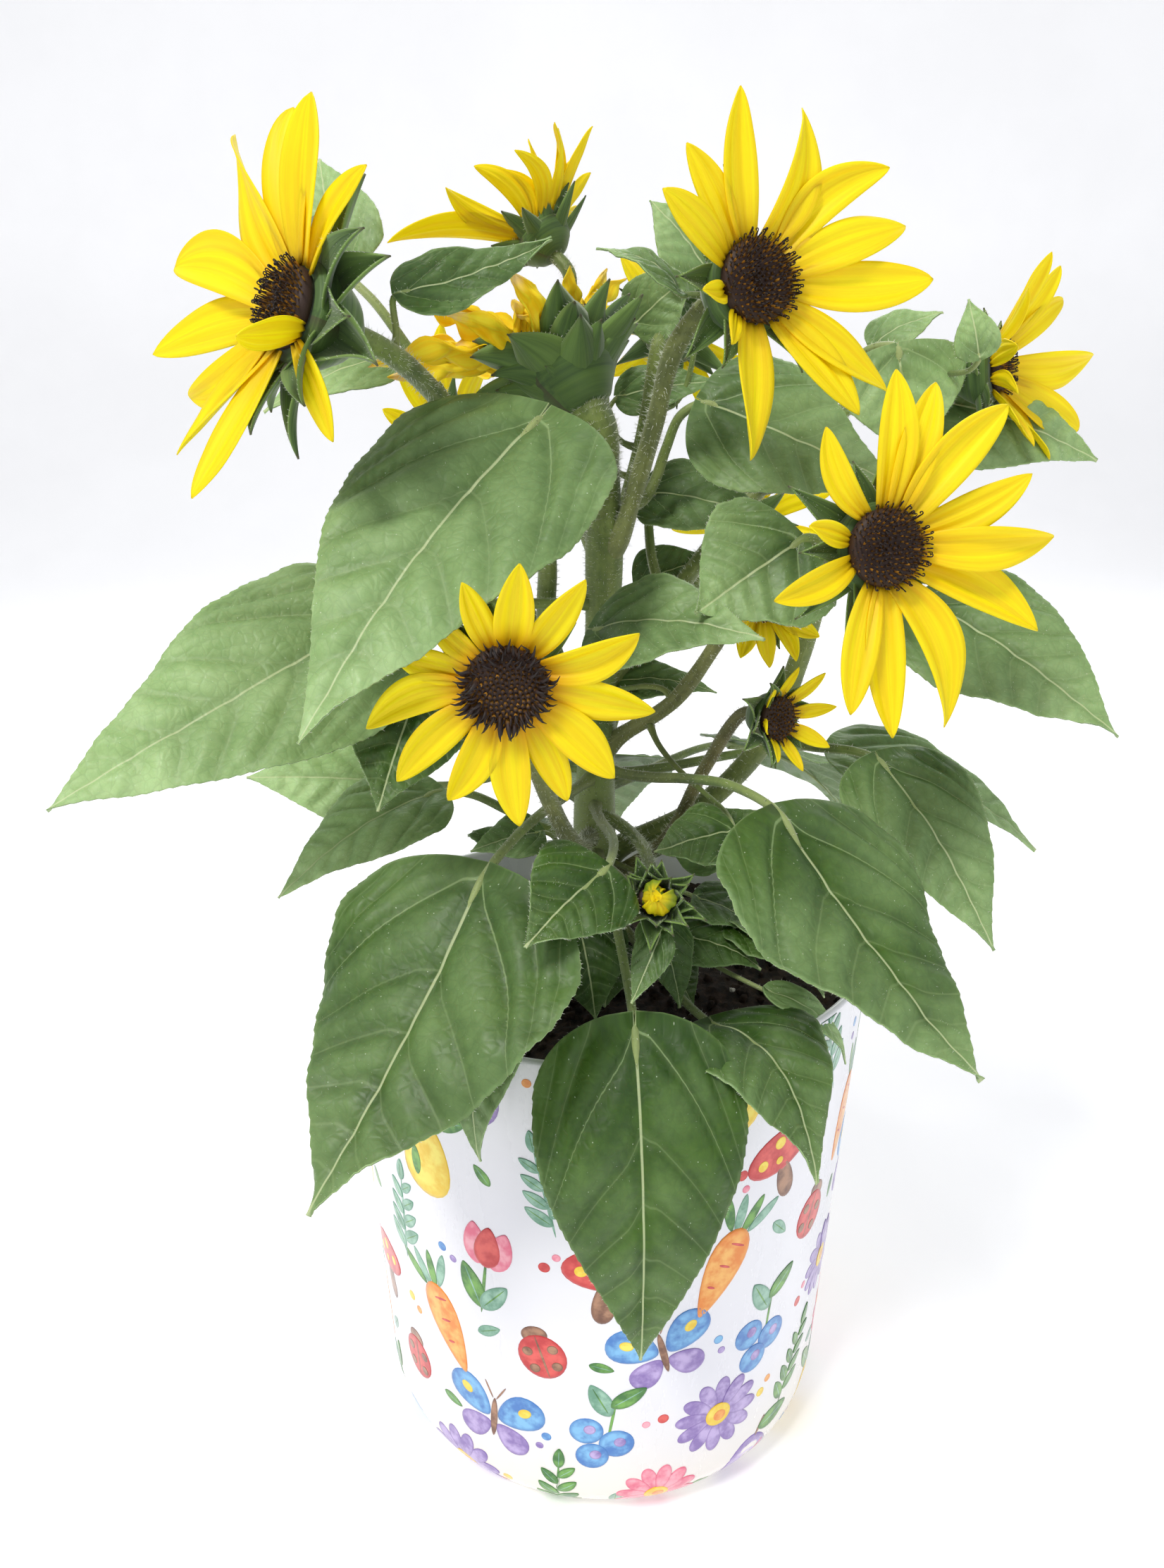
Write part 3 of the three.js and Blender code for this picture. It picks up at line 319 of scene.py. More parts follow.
class Piece:
    """Grids gathered into one mesh, with a UV pair, a second pair and a tone at each vertex."""

    def __init__(self):
        self.rows = {key: [] for key in (*KEYS, "tone")}
        self.count = 0

    def put(self, points, quads=(), triangles=(), place=0.0, vein=0.0, tone=0.0):
        n = len(points)
        quads, triangles = np.reshape(quads, (-1, 4)), np.reshape(triangles, (-1, 3))
        added = (points, quads + self.count, triangles + self.count,
                 np.broadcast_to(place, (n, 2)), np.broadcast_to(vein, (n, 2)), np.broadcast_to(tone, n))
        for rows, values in zip(self.rows.values(), added):
            rows.append(values)
        self.count += n

    def ring_solid(self, grid, place=None, tone=0.0):
        """A closed solid from rings, with a lid fanned from the middle of each end ring. tone is one
        number, or one for each ring, or one for each point."""
        m, n = grid.shape[:2]
        k = np.arange(n)
        a, b = (np.arange(m - 1)[:, None] * n + turn for turn in (k, (k + 1) % n))
        points = np.vstack([grid.reshape(-1, 3), grid[0].mean(axis=0), grid[-1].mean(axis=0)])
        low = stack((k + 1) % n, k, m * n)
        high = stack((m - 1) * n + k, (m - 1) * n + (k + 1) % n, m * n + 1)
        if place is None:
            place = stack(np.linspace(0, 1, m)[:, None], k / n)
        place = np.vstack([place.reshape(-1, 2), [[0, 0], [1, 0]]])
        if np.ndim(tone):
            tone = np.broadcast_to(tone[:, None] if np.ndim(tone) == 1 else tone, (m, n))
            tone = np.concatenate([tone.ravel(), [np.mean(tone[0]), np.mean(tone[-1])]])
        self.put(points, stack(a, b, b + n, a + n), np.vstack([low, high]), place, 0.0, tone)

    def sheet(self, grid, thickness, place, vein=None, tone=0.0, under=None):
        """A closed sheet: the grid moved half its thickness along and against its own normal."""
        m, n = grid.shape[:2]
        half = face_normal(grid) * (thickness / 2)
        base = m * n
        a = np.arange(m - 1)[:, None] * n + np.arange(n - 1)
        left, first = np.arange(m - 1) * n, np.arange(n - 1)
        right, last = left + n - 1, first + (m - 1) * n
        rims = [(left + n, left), (right, right + n), (first, first + 1), (last + 1, last)]
        quads = [stack(a, a + n, a + n + 1, a + 1), stack(a, a + 1, a + n + 1, a + n) + base]
        quads += [stack(p, q, q + base, p + base) for p, q in rims]
        layers = (place, 0 * place if vein is None else vein)
        place, vein = (np.vstack([layer.reshape(-1, 2)] * 2) for layer in layers)
        shades = [np.broadcast_to(shade, (m, n)) for shade in (tone, tone if under is None else under)]
        self.put(np.vstack([(grid + half).reshape(-1, 3), (grid - half).reshape(-1, 3)]),
                 np.vstack([faces.reshape(-1, 4) for faces in quads]), (), place, vein, np.ravel(shades))

    def make(self, name, material, slot, replaced=(), shade_flat=False):
        points, quads, triangles, place, vein = (np.vstack(self.rows[key]) for key in KEYS)
        corners = np.concatenate([quads.ravel(), triangles.ravel()]).astype(np.int32)
        sizes = np.repeat([4, 3], [len(quads), len(triangles)]).astype(np.int32)
        mesh = bpy.data.meshes.new(name)
        mesh.vertices.add(len(points))
        mesh.vertices.foreach_set("co", (points * MM).ravel())
        mesh.loops.add(len(corners))
        mesh.loops.foreach_set("vertex_index", corners)
        mesh.polygons.add(len(sizes))
        mesh.polygons.foreach_set("loop_start", (np.cumsum(sizes) - sizes).astype(np.int32))
        mesh.polygons.foreach_set("loop_total", sizes)
        for layer, values in (("place", place), ("vein", vein)):
            if layer == "place" or values.any():
                mesh.uv_layers.new(name=layer).data.foreach_set("uv", values[corners].ravel())
        tone = mesh.attributes.new("tone", "FLOAT", "POINT")
        tone.data.foreach_set("value", np.concatenate(self.rows["tone"]).astype(np.float32))
        mesh.update(calc_edges=True)
        mesh.validate()
        mesh.polygons.foreach_set("use_smooth", np.full(len(mesh.polygons), not shade_flat))
        mesh.materials.append(material)
        piece = bpy.data.objects.new(name, mesh)
        bpy.context.scene.collection.objects.link(piece)
        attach(piece, "root")
        if replaced:
            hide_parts(*replaced)


# Materials.

def rgb(r, g, b):
    """A display colour of 0 to 255 as a linear colour."""
    c = np.array([r, g, b]) / 255
    c = np.where(c <= 0.04045, c / 12.92, ((c + 0.055) / 1.055) ** 2.4)
    return (*c.tolist(), 1.0)


class Shader:
    """A node tree under way: a short call for each kind of node, and the colour so far."""

    def __init__(self, tree):
        self.tree = tree
        self.colour = None

    def link(self, value, socket):
        """Joins a socket to an input, or sets the input's own value."""
        if isinstance(value, bpy.types.NodeSocket):
            self.tree.links.new(value, socket)
        else:
            socket.default_value = value

    def node(self, kind, inputs=(), **settings):
        """A shader node with its settings and inputs, the inputs by name or number."""
        made = self.tree.nodes.new("ShaderNode" + kind)
        for key, value in settings.items():
            setattr(made, key, value)
        for key, value in dict(inputs).items():
            self.link(value, made.inputs[key])
        return made

    def maths(self, operation, *values):
        return self.node("Math", enumerate(values), operation=operation).outputs[0]

    def times(self, first, second):
        return self.maths("MULTIPLY", first, second)

    def blend(self, share, low, high):
        """low and high colours mixed by share."""
        return self.node("Mix", {"Factor": share, 6: low, 7: high}, data_type="RGBA").outputs[2]

    def coat(self, share, *colour):
        """A colour laid over the colour so far by share."""
        self.colour = self.blend(share, self.colour, rgb(*colour))

    def span(self, value, low, high, to_low=0.0, to_high=1.0):
        """value carried smoothly from low..high to to_low..to_high."""
        inputs = {"Value": value, 1: low, 2: high, 3: to_low, 4: to_high}
        return self.node("MapRange", inputs, interpolation_type="SMOOTHSTEP").outputs[0]

    def noise(self, where, scale, detail=3.0, rough=0.55, stretch=None):
        if stretch:
            where = self.node("Mapping", {"Vector": where, "Scale": stretch}).outputs[0]
        inputs = {"Vector": where, "Scale": scale, "Detail": detail, "Roughness": rough}
        return self.node("TexNoise", inputs).outputs["Fac"]

    def cells(self, where, scale, feature="F1"):
        """Random cells: the distance to their middles, or to their edges."""
        return self.node("TexVoronoi", {"Vector": where, "Scale": scale}, feature=feature).outputs

    def parts(self, vector):
        return self.node("SeparateXYZ", {0: vector}).outputs

    def where(self):
        return self.node("TexCoord").outputs["Object"]

    def layer(self, name):
        return self.node("UVMap", uv_map=name).outputs[0]

    def tone(self):
        """The tone that each vertex carries."""
        return self.node("Attribute", attribute_name="tone").outputs["Fac"]

    def use(self, group, **inputs):
        made = self.node("Group", node_tree=group)
        for key, value in inputs.items():
            self.link(value, made.inputs[key])
        return made.outputs

    def mottle(self, where, scale, low, high):
        return self.use(MOTTLE, Where=where, Scale=scale, Low=rgb(*low), High=rgb(*high))[0]

    def streaked(self, lines, low, high, spread=(0.35, 0.65)):
        """Starts the colour as lines from root to tip. Gives the lines and the share of the length."""
        place = self.layer("place")
        lines = self.use(STREAKS, Place=place, Lines=lines)[0]
        self.colour = self.blend(self.span(lines, *spread), rgb(*low), rgb(*high))
        return lines, self.parts(place)[1]

    def inlet(self, name):
        """An input of the material's own shader."""
        return self.tree.nodes["Principled BSDF"].inputs[name]

    def bump(self, height, strength, distance):
        made = self.node("Bump", {"Height": height, "Strength": strength, "Distance": distance})
        self.link(made.outputs[0], self.inlet("Normal"))


def effect(name, inputs, outputs, build):
    """A shader node group: build(s, inputs) returns a socket for each output, a Float but for Colour."""
    group = bpy.data.node_groups.new(name, "ShaderNodeTree")
    for label, kind in inputs.items():
        group.interface.new_socket(label, in_out="INPUT", socket_type="NodeSocket" + kind)
    for label in outputs:
        kind = "Color" if label == "Colour" else "Float"
        group.interface.new_socket(label, in_out="OUTPUT", socket_type="NodeSocket" + kind)
    start, end = (group.nodes.new("NodeGroup" + side) for side in ("Input", "Output"))
    for made, socket in zip(build(Shader(group), start.outputs), end.inputs):
        group.links.new(made, socket)
    return group


def build_mottle(s, inputs):
    """Low to High by two sizes of soft noise."""
    broad = s.noise(inputs["Where"], inputs["Scale"], 2.0)
    fine = s.noise(inputs["Where"], s.times(inputs["Scale"], 9.0), 3.0)
    share = s.span(s.maths("ADD", s.times(broad, 0.7), s.times(fine, 0.3)), 0.35, 0.65)
    return [s.blend(share, inputs["Low"], inputs["High"])]


def build_leaf_net(s, inputs):
    """Vein masks. The second UV pair holds a phase, whole on each side vein, and the veins'
    spacing: distance = |frac(phase + 1/2) - 1/2| spacing. The midrib lies where place x is 0, and
    the web is the edges of small random cells. The lowest pair of side veins shows more near the foot."""
    phase, spacing, _ = s.parts(inputs["Vein"])
    x, y, _ = s.parts(inputs["Place"])
    from_vein = s.maths("SUBTRACT", s.maths("FRACT", s.maths("ADD", phase, 0.5)), 0.5)
    off = s.times(s.maths("ABSOLUTE", from_vein), spacing)
    rib_width = s.maths("MULTIPLY_ADD", y, -0.0024, 0.0055)
    rib = s.span(s.maths("DIVIDE", s.maths("ABSOLUTE", x), rib_width), 1.25, 0.5)
    basal = s.times(s.maths("COMPARE", phase, BASAL_PHASE, 0.5), s.span(y, 0.75, 0.05))
    side = s.times(s.span(off, 0.0048, 0.0014), s.maths("MULTIPLY_ADD", basal, 2.0, 1.0))
    wander = s.node("TexNoise", {"Vector": inputs["Place"], "Scale": 14.0}).outputs["Color"]
    bent = s.node("VectorMath", {0: wander, 1: (0.03, 0.03, 0.0), 2: inputs["Place"]},
                  operation="MULTIPLY_ADD").outputs[0]
    edge = s.cells(bent, 30.0, "DISTANCE_TO_EDGE")["Distance"]
    fine = s.cells(inputs["Place"], 95.0, "DISTANCE_TO_EDGE")["Distance"]
    web = s.maths("MAXIMUM", s.span(edge, 0.09, 0.0), s.times(s.span(fine, 0.12, 0.0), 0.5))
    specks = s.cells(inputs["Place"], 46.0)
    chosen = s.span(s.parts(specks["Color"])[0], 0.55, 0.6)
    bristle = s.times(s.span(specks["Distance"], 0.11, 0.05), chosen)
    return rib, side, s.span(off, 0.03, 0.0), web, bristle, s.span(edge, 0.0, 0.28)


def build_streaks(s, inputs):
    """Fine lines that run the length of a strip: noise drawn out along place y."""
    fine = s.noise(inputs["Place"], inputs["Lines"], 3.0, 0.6, (1.0, 0.06, 1.0))
    broad = s.noise(inputs["Place"], s.times(inputs["Lines"], 0.3), 2.0, 0.5, (1.0, 0.1, 1.0))
    return [s.maths("MULTIPLY_ADD", fine, 0.6, s.times(broad, 0.4))]


MOTTLE = effect("mottle", {"Where": "Vector", "Scale": "Float", "Low": "Color", "High": "Color"},
                ["Colour"], build_mottle)
LEAF_NET = effect("leaf net", {"Place": "Vector", "Vein": "Vector"},
                  ["Rib", "Side", "Soft", "Web", "Bristle", "Puff"], build_leaf_net)
STREAKS = effect("streaks", {"Place": "Vector", "Lines": "Float"}, ["Value"], build_streaks)


def material(name, look, **sockets):
    """A material: look(s) makes the colour and what else changes; sockets set the shader's own values."""
    made = bpy.data.materials.new(name)
    made.use_nodes = True
    s = Shader(made.node_tree)
    for key, value in sockets.items():
        s.inlet(key.replace("_", " ")).default_value = value
    look(s)
    s.link(s.colour, s.inlet("Base Color"))
    return made


def leaf_look(s):
    """Green by tone from deep to sage, the tone carrying painted light and shade; pale veins, a web
    darkened as painted shade in its creases, and a paler underside (tone over 2).
    """
    place, tone = s.layer("place"), s.tone()
    under = s.span(tone, 1.4, 1.6)
    net = s.use(LEAF_NET, Place=place, Vein=s.layer("vein"))
    deep = s.mottle(place, 3.0, (36, 68, 4), (62, 97, 13))
    sage = s.mottle(place, 3.0, (146, 180, 112), (174, 204, 142))
    # The tone holds painted shade toward the foot and in the vein grooves, and painted light toward the
    # tip.
    s.colour = s.blend(s.maths("SUBTRACT", tone, s.times(under, 2.0)), deep, sage)
    light = s.blend(0.5, s.colour, rgb(176, 196, 142))
    # Painted shade in the creases of the puckered net along the web.
    s.coat(s.times(net["Web"], 0.12), 36, 64, 22)
    s.colour = s.blend(s.times(net["Soft"], 0.12), s.colour, light)
    s.coat(s.times(under, 0.42), 160, 184, 140)
    s.coat(s.times(net["Side"], 0.13), 168, 192, 134)
    s.coat(s.times(net["Rib"], 0.7), 196, 208, 158)
    s.coat(s.times(net["Bristle"], 0.55), 206, 222, 190)
    s.bump(s.maths("ADD", net["Puff"], s.times(net["Bristle"], 0.5)), 0.2, 0.0006)
    s.link(s.span(s.noise(place, 12.0), 0.3, 0.7, 0.46, 0.62), s.inlet("Roughness"))


def petal_look(s):
    """Yellow with fine lines from root to tip; more orange at the root, as painted shade where the rays
    meet the disc and, as tone nears 1, as a young head's own colour; browner at the very root as painted
    shade;
    and greener below the tip as tone nears 2."""
    lines, along = s.streaked(9.0, (245, 200, 0), (255, 227, 2))
    tone = s.tone()
    # Orange at the root: painted shade near the disc on every head, and the young heads' own orange as tone
    # nears 1.
    s.coat(s.times(s.span(along, 0.42, 0.0), s.span(tone, 0.0, 1.0, 0.35, 0.95)), 236, 152, 2)
    # Brown at the very root: painted shade where the rays meet the disc.
    s.coat(s.span(along, 0.1, 0.0, 0.0, 0.5), 120, 66, 8)
    s.coat(s.times(s.span(tone, 1.4, 1.9, 0.0, 0.9), s.span(along, 1.0, 0.6)), 112, 152, 40)
    s.coat(s.span(along, 0.985, 1.0, 0.0, 0.35), 196, 140, 40)
    s.bump(lines, 0.5, 0.0008)


def faded_look(s):
    """Drying petals: golden yellow, with cream and brown tips and wrinkles."""
    lines, along = s.streaked(14.0, (255, 208, 8), (255, 232, 46))
    patches = s.span(s.noise(s.where(), 160.0), 0.46, 0.72)
    s.coat(s.times(s.span(along, 0.7, 1.0), patches), 246, 214, 156)
    s.coat(s.span(along, 0.95, 1.0, 0.0, 0.4), 170, 112, 60)
    s.bump(lines, 0.6, 0.0008)


def floret_look(s):
    """Florets by height (tone): golden low down, dark purple brown above; a tone over 1.5 is golden."""
    tone = s.tone()
    s.colour = s.blend(s.span(tone, 0.15, 0.5), rgb(150, 106, 30), rgb(50, 28, 17))
    s.coat(s.span(tone, 0.45, 0.9), 24, 12, 10)
    s.coat(s.span(tone, 1.5, 1.6), 178, 124, 34)
    s.bump(s.noise(s.where(), 2500.0), 0.3, 0.0002)


def bract_look(s):
    """Dark green in lines, lighter by tone, with dark tips."""
    lines, along = s.streaked(16.0, (40, 72, 20), (84, 116, 44), (0.3, 0.7))
    s.coat(s.span(s.tone(), 0.0, 1.0, 0.0, 0.8), 126, 158, 70)
    s.coat(s.span(along, 0.9, 1.0, 0.0, 0.8), 64, 46, 30)
    s.bump(lines, 0.5, 0.0008)


def stem_look(s):
    """Olive green, streaked lengthways, browner as tone rises to 1 and paler as it falls to -1."""
    turned = s.node("Mapping", {"Vector": s.layer("place"), "Rotation": (0, 0, np.pi / 2)}).outputs[0]
    lines = s.use(STREAKS, Place=turned, Lines=24.0)[0]
    where, tone = s.where(), s.tone()
    green = s.mottle(where, 60.0, (72, 98, 34), (116, 140, 60))
    s.colour = s.blend(tone, green, s.mottle(where, 60.0, (88, 76, 44), (130, 114, 76)))
    s.coat(s.span(tone, 0.0, -1.0), 158, 172, 112)
    s.coat(s.span(lines, 0.4, 0.7, 0.0, 0.45), 150, 160, 96)
    s.coat(s.span(s.cells(where, 520.0)["Distance"], 0.2, 0.1, 0.0, 0.45), 56, 58, 30)
    s.bump(s.maths("ADD", lines, s.noise(where, 900.0)), 0.4, 0.0005)


def hair_look(s):
    s.colour = s.mottle(s.where(), 200.0, (206, 212, 190), (240, 242, 230))


def soil_look(s):
    """Peat: near black crumbs with brown fibres."""
    where = s.where()
    s.colour = s.mottle(where, 260.0, (24, 18, 14), (66, 48, 36))
    s.coat(s.span(s.noise(where, 500.0, 4.0, 0.7, (1.0, 0.25, 1.0)), 0.6, 0.72, 0.0, 0.6), 104, 78, 54)
    s.bump(s.noise(where, 700.0, 5.0, 0.7), 0.9, 0.0015)


def perlite_look(s):
    s.colour = s.mottle(s.where(), 300.0, (206, 200, 188), (240, 238, 230))
    s.bump(s.noise(s.where(), 900.0, 5.0, 0.7), 0.8, 0.0006)


def glaze_look(s):
    """White gloss, creamier near the foot as a painted reflection of the floor's light, with lavender-grey
    patches of painted shade and faint handling marks in the gloss.
    """
    where = s.where()
    # Creamier near the foot: a painted reflection of light from the floor.
    s.colour = s.blend(s.span(s.parts(where)[2], 0.07, 0.0), rgb(240, 240, 245), rgb(246, 240, 228))
    # Faint lavender-grey patches: painted shade on the white glaze.
    s.coat(s.span(s.noise(where, 14.0, 2.0), 0.45, 0.75, 0.0, 0.3), 226, 226, 236)
    marks = s.noise(where, 60.0, 5.0, 0.7, (1.0, 1.0, 0.3))
    s.link(s.span(marks, 0.3, 0.75, 0.16, 0.34), s.inlet("Roughness"))
    s.bump(s.noise(where, 90.0, 2.0), 0.06, 0.001)


def floor_look(s):
    s.colour = s.mottle(s.where(), 2.0, (244, 244, 245), (248, 248, 249))


def painted(ink, pale, deep):
    """Watercolour: pale and deep washes of one colour pooled by noise, deeper at the edge (tone 1)."""
    def look(s):
        s.colour = s.blend(s.span(s.noise(s.where(), 170.0, 3.0, 0.6), 0.35, 0.68), rgb(*pale), rgb(*deep))
        s.coat(s.span(s.tone(), 0.72, 0.98, 0.0, 0.7), *deep)
    return material("painted " + ink, look, Roughness=0.28, Coat_Weight=0.3)


LEAF = material("leaf blade", leaf_look, Specular_IOR_Level=0.45, Subsurface_Weight=0.06,
                Subsurface_Scale=0.002)
PETAL = material("fresh petal", petal_look, Roughness=0.55, Specular_IOR_Level=0.3,
                 Subsurface_Weight=0.35, Subsurface_Scale=0.004, Subsurface_Radius=(1.0, 0.8, 0.1))
FADED = material("drying petal", faded_look, Roughness=0.6, Specular_IOR_Level=0.3,
                 Subsurface_Weight=0.12, Subsurface_Scale=0.002)
FLORET = material("disc florets", floret_look, Roughness=0.6)
BRACT = material("hairy bract", bract_look, Roughness=0.6, Sheen_Weight=0.3)
STEM = material("stem skin", stem_look, Roughness=0.55, Sheen_Weight=0.25)
HAIR = material("stem hairs", hair_look, Roughness=0.5)
EARTH = material("potting soil", soil_look, Roughness=0.92)
PERLITE = material("perlite", perlite_look, Roughness=0.9)
GLAZE = material("glossy white", glaze_look, Coat_Weight=0.35, Coat_Roughness=0.08)
FLOOR = material("studio floor", floor_look, Roughness=0.7, Emission_Color=(1, 1, 1, 1),
                 Emission_Strength=0.22)


# Places on the plant.

def polar(spot):
    """Heading, reach and height about the plant's axis as x, y and z."""
    return around(np.radians(spot[0]), spot[1], spot[2]) + [PLANT_X, 0, 0]


MAIN_PATH = spline(MAIN_STEM[:, :3], 300)


def main_axis(z):
    """The point of the main stem's axis at a height."""
    x, y, height = MAIN_PATH.T
    return np.array([np.interp(z, height, x), np.interp(z, height, y), z])


def main_radius(z):
    return np.interp(z, *MAIN_STEM[:, 2:].T)


def head_frame(bloom):
    """Right, up and ahead of a head as the rows of a matrix."""
    h, e = np.radians(bloom["heading"]), np.radians(bloom["rise"])
    ahead = around(h, np.cos(e), np.sin(e))
    right = unit(np.cross(UP, ahead))
    return np.array([right, np.cross(ahead, right), ahead])


def in_place(bloom, points):
    """Points of the head's own frame carried to the plant's."""
    return points @ head_frame(bloom) + bloom["centre"]


def neck(bloom, run):
    """Points behind the head on its axis: one run behind the cup and one well inside it."""
    ahead = head_frame(bloom)[2]
    back = bloom["centre"] - ahead * bloom["disc"] * DEPTH_PER_DISC
    return [back - ahead * run, back + ahead * bloom["disc"] * 0.6]


def shoot_points(bloom, sunk):
    """What a shoot passes: the main stem's axis if sunk, its skin, the points between and the neck."""
    height, heading, _, via = bloom["shoot"]
    thick = main_radius(height)
    start = main_axis(height) + around(np.radians(heading)) * (thick + GAP)
    first = [main_axis(height - thick * 1.3)] if sunk else []
    return [*first, start, *via, *neck(bloom, bloom["disc"] * 0.5)]


SHOOT_PATHS = {name: spline(shoot_points(b, False), 200) for name, b in BLOOMS.items() if b["shoot"]}


def leaf_start(carrier, place, foot):
    """Where a leaf stalk leaves its carrier: a point inside it, the way out and the carrier's radius."""
    target = polar(foot)
    if carrier == "main":
        middle = main_axis(place)
        return middle, unit((target - middle) * LEVEL), main_radius(place)
    path = SHOOT_PATHS[carrier]
    k = int(round(place * (len(path) - 1)))
    along = unit(path[min(k + 1, len(path) - 1)] - path[max(k - 1, 0)])
    out = target - path[k]
    low, high = BLOOMS[carrier]["shoot"][2]
    return path[k], unit(out - along * np.dot(out, along)), low + (high - low) * place


# Stems.

def skin_radius(path, radius, seed):
    """A stem's radius with slow swellings along it."""
    along = np.linspace(0, 1, len(path))
    rng = np.random.default_rng(seed)
    return radius * (1 + 0.02 * sum(np.sin(along * f + rng.uniform(0, TURN)) for f in (9, 17, 31)))


hairs = Piece()


def add_cones(roots, ways, length, radius):
    """Slim three-sided hairs, one at each root along its own way."""
    side = unit(np.cross(ways, unit(RNG.normal(size=ways.shape))))
    other = np.cross(ways, side)
    a = circle(3)[:, None]
    ring = roots[:, None] + (side[:, None] * np.cos(a) + other[:, None] * np.sin(a)) * radius
    ring -= ways[:, None] * 0.15
    tip = roots + ways * length[:, None]
    faces = np.arange(len(roots))[:, None, None] * 4 + [[0, 1, 3], [1, 2, 3], [2, 0, 3], [0, 2, 1]]
    hairs.put(np.concatenate([ring, tip[:, None]], axis=1).reshape(-1, 3), (), faces)


def add_hairs(path, radius, count, longest, start=0.0):
    """Hairs standing off a stem at random places, leaning a little towards its tip."""
    along, across, other = path_frames(path)
    k = RNG.integers(int(start * len(path)), len(path), count)
    a = RNG.uniform(0, 2 * np.pi, count)[:, None]
    rim = across[k] * np.cos(a) + other[k] * np.sin(a)
    ways = unit(rim + along[k] * RNG.uniform(-0.1, 0.5, (count, 1)) + RNG.normal(0, 0.22, (count, 3)))
    roots = path[k] + rim * np.broadcast_to(radius, len(path))[k][:, None] * 0.97
    add_cones(roots, ways, RNG.uniform(0.35, 1, count) * longest, 0.085)


def add_stem(piece, path, radius, sides, flute, tone):
    """A fluted tube. Place x is its length in decimetres, and y runs from 0 to 0.3 round it."""
    place = stack(run_along(path)[:, None] / DECIMETRE, np.linspace(0, 0.3, sides))
    piece.ring_solid(tube_grid(path, radius, sides, flute), place, tone)


main_stem = Piece()
main_path = spline([*MAIN_STEM[:, :3], *neck(BLOOMS["fading"], 6)], 150)
heights = main_path[:, 2]
main_skin = skin_radius(main_path, main_radius(heights), 3)
main_skin = main_skin * (1 + 0.25 * smooth(372, 388, heights)) + 1.3 * smooth(290, 225, heights)
add_stem(main_stem, main_path, main_skin, 24, 0.025, 0.15 - 0.75 * smooth(310, 230, heights))
main_stem.make("main_stem_skin", STEM, "stem", ["main_stem"])
add_hairs(main_path, main_skin, 4200, 2.2)
add_hairs(main_path, main_skin, 1500, 2.4, 0.82)

BROWN = {"half_open": 0.8, "right": 0.25, "middle": 0.55, "front_left": 0.5, "upper_right": 0.4,
         "far_right": 0.3}
shoots = Piece()
for index, (name, bloom) in enumerate(BLOOMS.items()):
    if not bloom["shoot"]:
        continue
    path = spline(shoot_points(bloom, True), 90)
    share = np.linspace(0, 1, len(path))
    height, _, (low, high), _ = bloom["shoot"]
    run = share * run_along(path)[-1]
    radius = skin_radius(path, low + (high - low) * share, index)
    radius = radius * (0.9 + 0.5 * np.exp(-(run / (1.7 * main_radius(height))) ** 2))
    add_stem(shoots, path, radius, 16, 0.03, BROWN.get(name, 0.15))
    add_hairs(path, radius, int(run[-1] * 8), 2.4, 0.08)
shoots.make("side_shoots", STEM, "stem", ["shoot_" + name for name in SHOOT_PATHS])
hairs.make("stem_hairs", HAIR, "stem", shade_flat=True)
hairs = Piece()


# Leaves.

SIDE_VEINS = np.array([-0.62, -0.4, -0.2, 0.0, 0.29, 0.48, 0.64, 0.77, 0.88, 0.97])
BASAL_VEIN = 3.0
SHOULDER = 0.22
# The width of a blade whose relief is drawn at full size, the midrib's groove there, the width over
# which a leaf counts as large, and the thickness of a blade.
FULL_WIDTH = 70
RIB_DEPTH = 1.1
LARGE = 30
BLADE_THICK = 0.55


def blade_share(u):
    """Half the width as a share of its greatest: round shoulders, then a drawn-out tip."""
    low = np.sqrt(np.clip(1 - np.clip(1 - u / SHOULDER, 0, 1) ** 2.2, 0, 1))
    v = np.clip((u - SHOULDER) / (1 - SHOULDER), 0, 1)
    return np.where(u < SHOULDER, low, 1 - v + 1.3 * v * (1 - v) ** 2)


def leaf_axes(foot, tip, roll):
    """The foot, the chord to the tip, and the blade's own along, normal and side."""
    start = polar(foot)
    chord = polar(tip) - start
    along = unit(chord)
    normal = UP + 0.5 * unit(start * LEVEL)
    normal = turned_about(unit(normal - along * np.dot(normal, along)), along, np.radians(roll))
    return start, chord, along, normal, np.cross(normal, along)


def arched(arch, length, u):
    """How high the midrib stands over its chord."""
    return arch * length * 4 * u * (1 - u)


